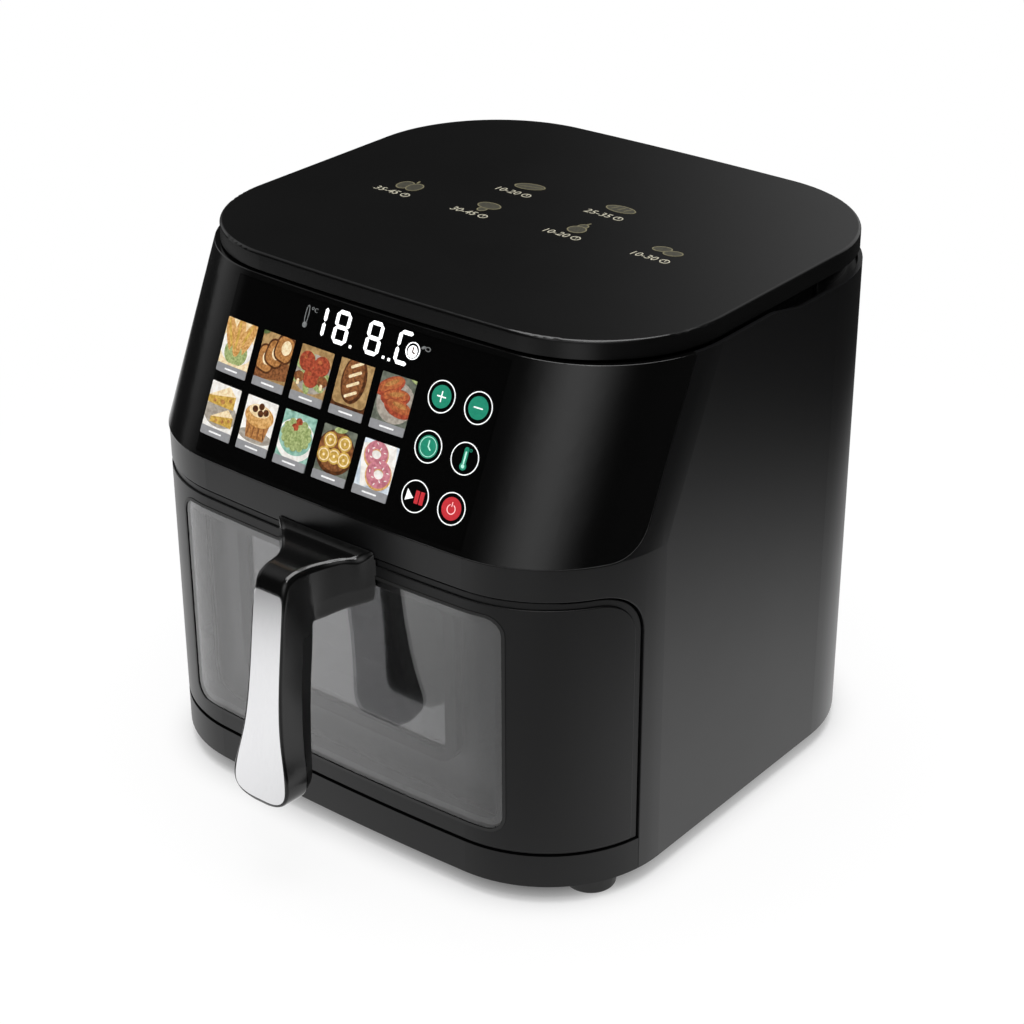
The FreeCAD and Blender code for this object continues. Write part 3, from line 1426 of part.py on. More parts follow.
PIECES = {
    "outer_shell": make_shell,
    "control_fascia": make_fascia,
    "touch_panel": make_touch_panel,
    "top_cover": make_lid,
    "lid_screws": make_lid_screws,
    "base_tray": make_base,
    "base_screws": make_base_screws,
    "feet": make_feet,
    "rear_grille": make_grille,
    "cord_gland": make_gland,
    "chamber_liner": make_liner,
    "heat_dome": make_dome,
    "dome_screws": make_dome_screws,
    "heater_guard": make_guard,
    "heater_coil": make_coil,
    "heater_supports": make_supports,
    "temperature_sensor": make_sensor,
    "thermostat": make_thermostat,
    "convection_fan": make_fan,
    "fan_nut": make_fan_nut,
    "cooling_fan": make_cooling_fan,
    "motor_shaft": make_shaft,
    "motor_rotor": make_rotor,
    "motor_deck": make_deck,
    "deck_screws": make_deck_screws,
    "motor_standoffs": make_standoffs,
    "motor_screws": make_motor_screws,
    "motor_core": make_core,
    "motor_winding": make_winding,
    "bearing_bridges": make_bridges,
    "motor_bearings": make_bearings,
    "exhaust_duct": make_duct,
    "control_board": make_control_board,
    "display_module": make_display,
    "board_screws": make_board_screws,
    "power_board": make_power_board,
    "power_standoffs": make_power_standoffs,
    "power_components": make_power_components,
    "interlock_switch": make_switch,
    "interlock_plunger": make_plunger,
    "drawer_front": make_drawer_front,
    "drawer_inner_cover": make_inner_cover,
    "cover_screws": make_cover_screws,
    "drawer_basket": make_basket,
    "basket_screws": make_basket_screws,
    "window_gasket": make_gasket,
    "window_outer_glass": make_outer_glass,
    "window_inner_glass": make_inner_glass,
    "inner_glass_frame": make_inner_frame,
    "crisper_plate": make_crisper,
    "crisper_bumpers": make_bumpers,
    "handle_front": make_handle_front,
    "handle_rear": make_handle_rear,
    "handle_insert": make_insert,
    "handle_screws": make_handle_screws,
}

os.makedirs("parts", exist_ok=True)
for node, make in PIECES.items():
    shape = make()
    shape.exportStep("parts/" + node + ".step")
    print(node, shape.isValid(), len(shape.Solids), round(shape.Volume / 1000, 2), "cm3")
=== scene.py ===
"""Looks of a countertop air fryer with a windowed drawer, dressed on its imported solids."""

import json
import logging
import math
from dataclasses import dataclass
from enum import Enum
from typing import Any, Callable, Iterable

import bmesh
import bpy
from mathutils import Matrix, Vector
from mathutils.bvhtree import BVHTree


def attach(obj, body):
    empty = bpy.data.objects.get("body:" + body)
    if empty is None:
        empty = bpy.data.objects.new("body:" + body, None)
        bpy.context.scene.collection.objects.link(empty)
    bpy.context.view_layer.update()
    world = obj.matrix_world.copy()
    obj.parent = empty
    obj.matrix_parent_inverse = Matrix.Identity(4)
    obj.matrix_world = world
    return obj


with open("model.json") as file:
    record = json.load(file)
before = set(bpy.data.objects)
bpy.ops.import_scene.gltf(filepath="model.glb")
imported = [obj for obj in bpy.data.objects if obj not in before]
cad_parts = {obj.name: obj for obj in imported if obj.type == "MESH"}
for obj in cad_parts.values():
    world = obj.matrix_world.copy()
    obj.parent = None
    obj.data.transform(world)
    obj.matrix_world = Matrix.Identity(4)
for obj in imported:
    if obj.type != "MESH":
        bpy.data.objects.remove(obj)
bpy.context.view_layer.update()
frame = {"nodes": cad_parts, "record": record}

LOG = logging.getLogger("air_fryer")
MM = 0.001
Colour = tuple[float, float, float, float]
Material = bpy.types.Material
Object = bpy.types.Object
Socket = bpy.types.NodeSocket
Tree = bpy.types.NodeTree
Pair = tuple[float, float]
Point = tuple[float, float, float]


def linear(hex_colour: str) -> Colour:
    """Turns an sRGB hex colour into linear light.

    Args:
        hex_colour: A colour written as #rrggbb.

    Returns:
        The linear red, green and blue, with full alpha.
    """
    levels = [int(hex_colour[start:start + 2], 16) / 255 for start in (1, 3, 5)]
    light = [v / 12.92 if v <= 0.04045 else ((v + 0.055) / 1.055) ** 2.4 for v in levels]
    return (light[0], light[1], light[2], 1.0)


def add_node(tree: Tree, kind: str, settings: dict[Any, Any] | None = None,
             links: dict[Any, Socket] | None = None) -> bpy.types.Node:
    """Adds one node with its settings and links.

    Args:
        tree: The node tree that takes the node.
        kind: The node's type name.
        settings: Properties by name, and socket values by name or number.
        links: Sockets of other nodes, by the name or number of the input they feed.

    Returns:
        The new node.
    """
    node = tree.nodes.new(kind)
    for key, value in (settings or {}).items():
        if isinstance(key, str) and key in node.bl_rna.properties:
            setattr(node, key, value)
        else:
            node.inputs[key].default_value = value
    for key, source in (links or {}).items():
        tree.links.new(source, node.inputs[key])
    return node


def new_material(name: str) -> tuple[Material, Tree, Socket]:
    """Starts a material with its coordinates alone.

    Args:
        name: The real material's name.

    Returns:
        The material, its tree and the socket of the place on the object.
    """
    material = bpy.data.materials.new(name)
    material.use_nodes = True
    tree = material.node_tree
    tree.nodes.clear()
    return material, tree, add_node(tree, "ShaderNodeTexCoord").outputs["Object"]


def new_object(name: str, bm: bmesh.types.BMesh, materials: Iterable[Material]) -> Object:
    """Turns a drawn shape into an object of the scene.

    Args:
        name: The object's name.
        bm: The shape, which is used up.
        materials: The materials in the order of the faces' numbers.

    Returns:
        The new object.
    """
    mesh = bpy.data.meshes.new(name)
    bm.to_mesh(mesh)
    bm.free()
    for material in materials:
        mesh.materials.append(material)
    made = bpy.data.objects.new(name, mesh)
    bpy.context.scene.collection.objects.link(made)
    return made


class Run(Enum):
    """How a surface's fine texture is stretched along X, Y and Z."""

    EVEN = (1.0, 1.0, 1.0)
    UPRIGHT_LINES = (1.0, 1.0, 0.015)
    ACROSS_LINES = (0.015, 1.0, 1.0)
    DEPTH_LINES = (1.0, 0.015, 1.0)


@dataclass(frozen=True)
class Finish:
    """A real material and how its surface was made.

    Roughness drifts over cloudy patches, and the grain carries the second colour and the relief.
    """

    name: str
    colour: str
    second: str
    roughness: float
    drift: float = 0.03
    grain_mm: float = 1.0
    relief_mm: float = 0.004
    metallic: float = 0.0
    ior: float = 1.5
    specular: float = 0.5
    coat: float = 0.0
    coat_roughness: float = 0.05
    run: Run = Run.EVEN
    cloud_mm: float = 45.0

    def build(self) -> Material:
        """Makes the node material."""
        material, tree, place = new_material(self.name)
        along = add_node(tree, "ShaderNodeMapping", {"Scale": self.run.value}, {"Vector": place})
        grain = add_node(tree, "ShaderNodeTexNoise", {"Scale": 1 / (self.grain_mm * MM), "Detail": 3.0},
                         {"Vector": along.outputs["Vector"]})
        cloud = add_node(tree, "ShaderNodeTexNoise", {"Scale": 1 / (self.cloud_mm * MM), "Detail": 2.0},
                         {"Vector": place})
        tint = add_node(tree, "ShaderNodeMix",
                        {"data_type": "RGBA", 6: linear(self.colour), 7: linear(self.second)},
                        {0: grain.outputs[0]})
        rough = add_node(tree, "ShaderNodeMapRange",
                         {"To Min": self.roughness - self.drift, "To Max": self.roughness + self.drift},
                         {"Value": cloud.outputs[0]})
        relief = add_node(tree, "ShaderNodeBump", {"Distance": self.relief_mm * MM},
                          {"Height": grain.outputs[0]})
        settings: dict[str, Any] = {"Metallic": self.metallic, "Specular IOR Level": self.specular,
                                    "Coat Weight": self.coat, "Coat Roughness": self.coat_roughness}
        if self.metallic < 0.5:
            settings["IOR"] = self.ior
        shader = add_node(tree, "ShaderNodeBsdfPrincipled", settings,
                          {"Base Color": tint.outputs[2], "Roughness": rough.outputs[0],
                           "Normal": relief.outputs[0]})
        add_node(tree, "ShaderNodeOutputMaterial", None, {"Surface": shader.outputs[0]})
        return material


@dataclass(frozen=True)
class LitInk:
    """Ink of two colours in patches, lit from behind where it lies on the panel."""

    name: str
    colour: str
    second: str
    glow: float = 0.45
    grain_mm: float = 1.6
    roughness: float = 0.3
    patch_edges: Pair = (0.38, 0.62)

    def build(self) -> Material:
        """Makes the node material."""
        material, tree, place = new_material(self.name)
        grain = add_node(tree, "ShaderNodeTexNoise", {"Scale": 1 / (self.grain_mm * MM), "Detail": 4.0},
                         {"Vector": place})
        sharp = add_node(tree, "ShaderNodeMapRange",
                         {"From Min": self.patch_edges[0], "From Max": self.patch_edges[1]},
                         {"Value": grain.outputs[0]})
        tint = add_node(tree, "ShaderNodeMix",
                        {"data_type": "RGBA", 6: linear(self.colour), 7: linear(self.second)},
                        {0: sharp.outputs[0]})
        shader = add_node(tree, "ShaderNodeBsdfPrincipled",
                          {"Roughness": self.roughness, "Emission Strength": self.glow},
                          {"Base Color": tint.outputs[2], "Emission Color": tint.outputs[2]})
        add_node(tree, "ShaderNodeOutputMaterial", None, {"Surface": shader.outputs[0]})
        return material


@dataclass(frozen=True)
class SmokedGlass:
    """Polished glass with a grey tint and a mirror-like front."""

    name: str
    tint: str
    ior: float
    roughness: float
    wave_mm: float = 90.0
    wave_height_mm: float = 0.05

    def build(self) -> Material:
        """Makes the node material, with the faint waviness of tempered glass."""
        material, tree, place = new_material(self.name)
        wave = add_node(tree, "ShaderNodeTexNoise", {"Scale": 1 / (self.wave_mm * MM), "Detail": 0.0},
                        {"Vector": place})
        relief = add_node(tree, "ShaderNodeBump", {"Distance": self.wave_height_mm * MM},
                          {"Height": wave.outputs[0]})
        shader = add_node(tree, "ShaderNodeBsdfPrincipled",
                          {"Base Color": linear(self.tint), "Roughness": self.roughness, "IOR": self.ior,
                           "Transmission Weight": 1.0}, {"Normal": relief.outputs[0]})
        add_node(tree, "ShaderNodeOutputMaterial", None, {"Surface": shader.outputs[0]})
        return material


# The finishes of the record's material slots. Mould grain and brush lines are finer than a pixel in
# life, so they are drawn about a millimetre wide.
SLOT_FINISHES: dict[str, Finish | SmokedGlass] = {
    # Spark-eroded ABS gives a soft, even satin.
    "satin_black_shell": Finish("satin_moulded_abs", "#0d0d0e", "#0a0a0b", 0.34, 0.03, 0.8, 0.005,
                                specular=0.4),
    # Polished ABS mirrors the room with slight softness.
    "gloss_black_fascia": Finish("polished_black_abs", "#050505", "#060606", 0.16, 0.02, 3.0, 0.002),
    # Back-painted acrylic is blacker and sharper than the moulding round it.
    "touch_glass_black": Finish("back_painted_acrylic", "#030303", "#040404", 0.08, 0.01, 4.0, 0.001),
    "satin_black_lid": Finish("smooth_satin_abs", "#060606", "#050505", 0.26, 0.02, 0.9, 0.003, specular=0.4),
    "window_glass": SmokedGlass("tempered_window_glass", "#ececed", 1.7, 0.02),
    "black_gasket": Finish("extruded_black_silicone", "#0b0b0b", "#121212", 0.5, 0.05, 1.5, 0.01),
    "gloss_black_handle": Finish("polished_black_nylon", "#070707", "#090909", 0.15, 0.03, 3.0, 0.002),
    "matte_black_handle": Finish("fine_textured_nylon", "#0b0b0b", "#0e0e0e", 0.34, 0.04, 0.9, 0.006),
    # Long fine scratches make the highlight a band across the brushing.
    "brushed_aluminium": Finish("brushed_aluminium", "#eeeeef", "#e4e4e6", 0.2, 0.03, 0.5, 0.001, 1.0,
                                run=Run.UPRIGHT_LINES),
    "foot_rubber": Finish("moulded_rubber", "#151515", "#1c1c1c", 0.7, 0.05, 1.2, 0.02),
    "chamber_steel": Finish("aluminised_sheet_steel", "#b9b8b4", "#9f9e9a", 0.34, 0.06, 1.0, 0.003, 1.0,
                            run=Run.DEPTH_LINES),
    "nonstick_black": Finish("sprayed_nonstick_coating", "#1b1b1c", "#26262a", 0.38, 0.06, 1.1, 0.012),
    "silicone_black": Finish("moulded_silicone", "#141414", "#1a1a1a", 0.6, 0.05, 1.2, 0.01),
    "heater_steel": Finish("heat_tinted_steel_tube", "#6b625a", "#4c443f", 0.42, 0.08, 3.0, 0.004, 1.0),
    "plated_steel": Finish("zinc_plated_steel", "#b7b9bd", "#a2a6ad", 0.32, 0.06, 2.5, 0.004, 1.0),
    "copper_winding": Finish("enamelled_copper_wire", "#b5652c", "#8a451b", 0.35, 0.05, 0.8, 0.05, 1.0,
                             run=Run.ACROSS_LINES),
    "bronze_bush": Finish("sintered_bronze", "#a8783c", "#8a5f2c", 0.45, 0.05, 0.8, 0.01, 1.0),
    "board_laminate": Finish("green_solder_resist", "#14532d", "#0f4023", 0.35, 0.05, 3.0, 0.01, coat=0.3),
    "component_plastic": Finish("moulded_phenolic", "#232326", "#2c2c30", 0.5, 0.06, 1.2, 0.01),
    "white_plastic": Finish("moulded_white_nylon", "#dcdcd6", "#d2d2ca", 0.45, 0.05, 1.2, 0.006),
    "screw_steel": Finish("plated_screw_steel", "#9a9ba0", "#85868c", 0.35, 0.06, 1.0, 0.004, 1.0),
}

# The finishes of nodes that differ from their slot's.
NODE_FINISHES: dict[str, Finish | SmokedGlass] = {
    # The pane next to the food is coated, so it mirrors more than the outer one and darkens what lies behind.
    "window_inner_glass": SmokedGlass("coated_smoked_glass", "#8c8d8f", 2.1, 0.04),
    # The drawer's front and the base take darker, duller copies of the shell's satin as painted shade: less
    # specular darkens what they mirror, keeping the shade of the mirrored floor on the drawer's front and
    # painting the shade near the floor on the base.
    "drawer_front": Finish("painted_shade_drawer_abs", "#0c0c0d", "#0a0a0b", 0.36, 0.03, 0.8, 0.005, specular=0.31),
    "base_tray": Finish("painted_shade_base_abs", "#0b0b0c", "#09090a", 0.4, 0.03, 0.8, 0.005, specular=0.3),
    # The inner pane's frame is blackened, so that only the glass shines through the window.
    "inner_glass_frame": Finish("blackened_sheet_steel", "#0a0a0b", "#0f0f10", 0.5, 0.05, 1.2, 0.004,
                                specular=0.2),
}


@dataclass(frozen=True)
class Inks:
    """The inks of the lit panel and the lid."""

    white: LitInk = LitInk("lit_white_segment", "#ffffff", "#f4f6f6", 1.0)
    ring: LitInk = LitInk("white_ring_ink", "#f2f4f3", "#e6e8e8", 0.5)
    dim: LitInk = LitInk("dim_icon_ink", "#7d7f7f", "#6c6e6e", 0.15)
    green: LitInk = LitInk("green_key_ink", "#1f8166", "#1b7960", 0.4)
    mint: LitInk = LitInk("mint_icon_ink", "#bfe9da", "#a9dccb", 0.4)
    red: LitInk = LitInk("red_key_ink", "#ba2e35", "#b02a31", 0.4)
    blush: LitInk = LitInk("blush_icon_ink", "#f7c9c9", "#f0b9b9", 0.4)
    caption: LitInk = LitInk("grey_caption_ink", "#8b8b8d", "#858587", 0.3)
    caption_bar: LitInk = LitInk("pale_caption_ink", "#e4e4e4", "#d8d8d8", 0.4)
    gold: LitInk = LitInk("golden_picture_ink", "#cda46a", "#a97638", 0.4, 1.3)
    amber: LitInk = LitInk("amber_picture_ink", "#b07c48", "#86582c", 0.4, 1.3)
    brown: LitInk = LitInk("brown_picture_ink", "#8a5833", "#5c361d", 0.4, 1.5)
    bark: LitInk = LitInk("dark_brown_picture_ink", "#5a3319", "#341c0d", 0.4, 1.5)
    scarlet: LitInk = LitInk("scarlet_picture_ink", "#a54a31", "#75301f", 0.4, 1.6)
    orange: LitInk = LitInk("orange_picture_ink", "#b0643a", "#854428", 0.4, 1.4)
    leaf: LitInk = LitInk("leaf_picture_ink", "#a3ae78", "#74834c", 0.4, 1.2)
    moss: LitInk = LitInk("moss_picture_ink", "#5d6b40", "#414f2c", 0.4, 1.2)
    cream: LitInk = LitInk("cream_picture_ink", "#e4d4b2", "#cdb58a", 0.4, 1.6)
    china: LitInk = LitInk("china_picture_ink", "#e4e1dc", "#cdc9c3", 0.4, 3.0)
    shade: LitInk = LitInk("shadow_picture_ink", "#a39b90", "#867e74", 0.4, 2.0)
    sky: LitInk = LitInk("pale_blue_picture_ink", "#cbd2d8", "#a7b2bd", 0.4, 3.5)
    teal: LitInk = LitInk("teal_picture_ink", "#93b8aa", "#6b9787", 0.4, 3.0)
    slate: LitInk = LitInk("slate_picture_ink", "#6b6f63", "#4c5147", 0.4, 3.0)
    wood: LitInk = LitInk("wood_picture_ink", "#a98a5d", "#866a43", 0.4, 2.5)
    lemon: LitInk = LitInk("lemon_picture_ink", "#c6a452", "#a27d30", 0.4, 1.6)
    pink: LitInk = LitInk("pink_picture_ink", "#bd7a85", "#a05c68", 0.4, 1.8)
    lid_gold: LitInk = LitInk("dim_gold_lid_ink", "#6e684e", "#5c573f", 0.0, 1.0, 0.5)
    lid_pale: LitInk = LitInk("pale_lid_ink", "#b0ab99", "#9b9786", 0.0, 1.0, 0.5)
    lid_dim: LitInk = LitInk("dark_gold_lid_ink", "#3a3829", "#211f18", 0.0, 0.9, 0.5)


INK = Inks()


class MaterialShelf:
    """Keeps one built material for each finish."""

    def __init__(self) -> None:
        """Starts with nothing built."""
        self.built: dict[str, Material] = {}

    def get(self, finish: Finish | LitInk | SmokedGlass) -> Material:
        """Gives a finish's material, building it once."""
        if finish.name not in self.built:
            self.built[finish.name] = finish.build()
        return self.built[finish.name]


class Carrier:
    """A face of the object that prints lie on, found by casting rays at its solids."""

    def __init__(self, nodes: Iterable[str], start: Vector, right: Vector, up: Vector,
                 inward: Vector) -> None:
        """Gathers the carrying solids.

        Args:
            nodes: CAD nodes that carry the prints.
            start: Where the print's origin starts its ray.
            right: Step of one metre to the print's right.
            up: Step of one metre up the print.
            inward: Direction of the rays.
        """
        corners: list[Vector] = []
        triangles: list[list[int]] = []
        for name in nodes:
            mesh = frame["nodes"][name].data
            first = len(corners)
            corners += [vertex.co.copy() for vertex in mesh.vertices]
            triangles += [[first + i for i in polygon.vertices] for polygon in mesh.polygons]
        self.tree = BVHTree.FromPolygons(corners, triangles)
        self.start = start
        self.right = right
        self.up = up
        self.inward = inward

    def place(self, point: Vector) -> Vector:
        """Lays a point on the face.

        Args:
            point: Right, up and lift of the print, in millimetres.

        Returns:
            The place in the part's frame, in metres.
        """
        origin = self.start + self.right * (point.x * MM) + self.up * (point.y * MM)
        hit, normal, _, _ = self.tree.ray_cast(origin, self.inward)
        if hit is None:
            raise ValueError(f"no face carries the print at {tuple(point)}")
        if normal.dot(self.inward) > 0:
            normal = -normal
        return hit + normal * (point.z * MM)


class PrintSheet:
    """Thin printed shapes, gathered in one mesh and laid on a carrier. All its sizes are millimetres."""

    SUNK = 0.04
    LIFT = 0.06
    STEP = 0.02
    MERGE = 1e-6
    DISC_SIDES = 28
    RING_SIDES = 40
    CORNER_STEPS = 4

    def __init__(self, name: str, shelf: MaterialShelf) -> None:
        """Starts an empty sheet.

        Args:
            name: The piece's name.
            shelf: Where the inks' materials come from.
        """
        self.name = name
        self.shelf = shelf
        self.bm = bmesh.new()
        self.inks: list[LitInk] = []
        self.at = Vector((0.0, 0.0))
        self.fit = Matrix.Identity(4)
        self.crop: Pair | None = None
        self.level = 1

    def _cropped(self, faces: list[bmesh.types.BMFace]) -> list[bmesh.types.BMFace]:
        """Cuts fresh flat faces off at the crop's edges, which lie half its sizes from the origin."""
        if self.crop is None:
            return faces
        for side in (Vector((1, 0, 0)), Vector((-1, 0, 0)), Vector((0, 1, 0)), Vector((0, -1, 0))):
            reach = abs(side.x) * self.crop[0] / 2 + abs(side.y) * self.crop[1] / 2
            edges = {edge for face in faces for edge in face.edges}
            verts = {vert for face in faces for vert in face.verts}
            cut = bmesh.ops.bisect_plane(self.bm, geom=[*verts, *edges, *faces], dist=self.MERGE,
                                         plane_co=side * reach, plane_no=side, clear_outer=True)
            faces = [piece for piece in cut["geom"] if isinstance(piece, bmesh.types.BMFace)]
        return faces

    def _raise(self, verts: list[bmesh.types.BMVert], ink: LitInk) -> None:
        """Gives fresh flat faces their place, ink and thickness, and goes up one level."""
        if ink not in self.inks:
            self.inks.append(ink)
        bmesh.ops.transform(self.bm, matrix=self.fit, verts=verts)
        faces = self._cropped(list({face for vert in verts for face in vert.link_faces}))
        for face in faces:
            face.material_index = self.inks.index(ink)
        for vert in {vert for face in faces for vert in face.verts}:
            vert.co.x += self.at.x
            vert.co.y += self.at.y
            vert.co.z = -self.SUNK
        made = bmesh.ops.extrude_face_region(self.bm, geom=faces)
        for element in made["geom"]:
            if isinstance(element, bmesh.types.BMVert):
                element.co.z = self.LIFT + self.level * self.STEP
        self.level += 1

    @staticmethod
    def _turned(u: float, v: float, turn: float) -> Matrix:
        """The place of a shape that is turned by some degrees."""
        return Matrix.Translation((u, v, 0)) @ Matrix.Rotation(math.radians(turn), 4, "Z")

    def disc(self, u: float, v: float, ru: float, rv: float, ink: LitInk, turn: float = 0.0) -> None:
        """Prints an ellipse turned by some degrees."""
        sized = self._turned(u, v, turn) @ Matrix.Diagonal((ru, rv, 1, 1))
        made = bmesh.ops.create_circle(self.bm, cap_ends=True, segments=self.DISC_SIDES, radius=1.0,
                                       matrix=sized)
        self._raise(made["verts"], ink)

    def ring(self, u: float, v: float, ru: float, rv: float, line: float, ink: LitInk,
             turn: float = 0.0) -> None:
        """Prints the outline of an ellipse, with a line drawn inside it."""
        verts = []
        for inset in (0.0, line):
            sized = self._turned(u, v, turn) @ Matrix.Diagonal((ru - inset, rv - inset, 1, 1))
            verts += bmesh.ops.create_circle(self.bm, cap_ends=False, segments=self.RING_SIDES, radius=1.0,
                                             matrix=sized)["verts"]
        edges = list({edge for vert in verts for edge in vert.link_edges})
        bmesh.ops.bridge_loops(self.bm, edges=edges)
        self._raise(verts, ink)

    def bar(self, u: float, v: float, width: float, tall: float, ink: LitInk, corner: float = 0.0,
            turn: float = 0.0) -> None:
        """Prints a rectangle, with round corners if they are asked for."""
        sized = self._turned(u, v, turn) @ Matrix.Diagonal((width, tall, 1, 1))
        verts = bmesh.ops.create_grid(self.bm, x_segments=1, y_segments=1, size=0.5, matrix=sized)["verts"]
        if corner > 0:
            rounded = bmesh.ops.bevel(self.bm, geom=verts, offset=corner, offset_type="OFFSET",
                                      segments=self.CORNER_STEPS, profile=0.5, affect="VERTICES", material=-1)
            verts = list({vert for face in rounded["faces"] for vert in face.verts} | set(rounded["verts"]))
        self._raise(verts, ink)

    def shape(self, points: Iterable[Pair], ink: LitInk) -> None:
        """Prints a straight-sided outline."""
        verts = [self.bm.verts.new((u, v, 0)) for u, v in points]
        self.bm.faces.new(verts)
        self._raise(verts, ink)

    def figures(self, words: str, u: float, v: float, size: float, ink: LitInk, lean: float = 0.0) -> None:
        """Prints plain numbers centred on a point."""
        curve = bpy.data.curves.new("figures", "FONT")
        curve.body = words
        curve.size = size
        curve.shear = lean
        curve.resolution_u = 3
        curve.align_x = "CENTER"
        curve.align_y = "CENTER"
        holder = bpy.data.objects.new("figures", curve)
        mesh = bpy.data.meshes.new_from_object(holder)
        before = len(self.bm.verts)
        self.bm.from_mesh(mesh)
        self.bm.verts.ensure_lookup_table()
        verts = self.bm.verts[before:]
        bmesh.ops.translate(self.bm, verts=verts, vec=(u, v, 0))
        self._raise(verts, ink)
        bpy.data.objects.remove(holder)
        bpy.data.curves.remove(curve)
        bpy.data.meshes.remove(mesh)

    def _split(self, strip: float) -> None:
        """Cuts the sheet into upright strips, so that it can follow a rounded face."""
        across = [vert.co.x for vert in self.bm.verts]
        for step in range(math.ceil(min(across) / strip), math.floor(max(across) / strip) + 1):
            whole = [*self.bm.verts, *self.bm.edges, *self.bm.faces]
            bmesh.ops.bisect_plane(self.bm, geom=whole, dist=self.MERGE, plane_co=(step * strip, 0, 0),
                                   plane_no=(1, 0, 0))

    def lay(self, carrier: Carrier, body: str, slot: str, strip: float = 0.0) -> Object:
        """Lays the sheet on its carrier and makes it ride.

        Args:
            carrier: The face that takes the print.
            body: The CAD body that the print moves with.
            slot: The record's slot, which is not used.
            strip: Widest strip that may lie flat, or 0 on a flat face.

        Returns:
            The finished piece.
        """
        if strip > 0:
            self._split(strip)
        bmesh.ops.triangulate(self.bm, faces=[face for face in self.bm.faces if len(face.verts) > 4])
        for vert in self.bm.verts:
            vert.co = carrier.place(vert.co)
        bmesh.ops.recalc_face_normals(self.bm, faces=self.bm.faces)
        piece = new_object(self.name, self.bm, [self.shelf.get(ink) for ink in self.inks])
        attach(piece, body)
        return piece


class Motif(Enum):
    """What a key's picture shows."""

    CORN = "corn cobs"
    BREAD = "bread slices"
    TOMATOES = "tomatoes"
    RYE = "rye loaf"
    PUMPKIN = "pumpkin wedges"
    CHEESE = "cheese"
    MUFFIN = "muffin"
    PEAS = "peas in a bowl"
    LEMONS = "lemons"
    RINGS = "iced rings"


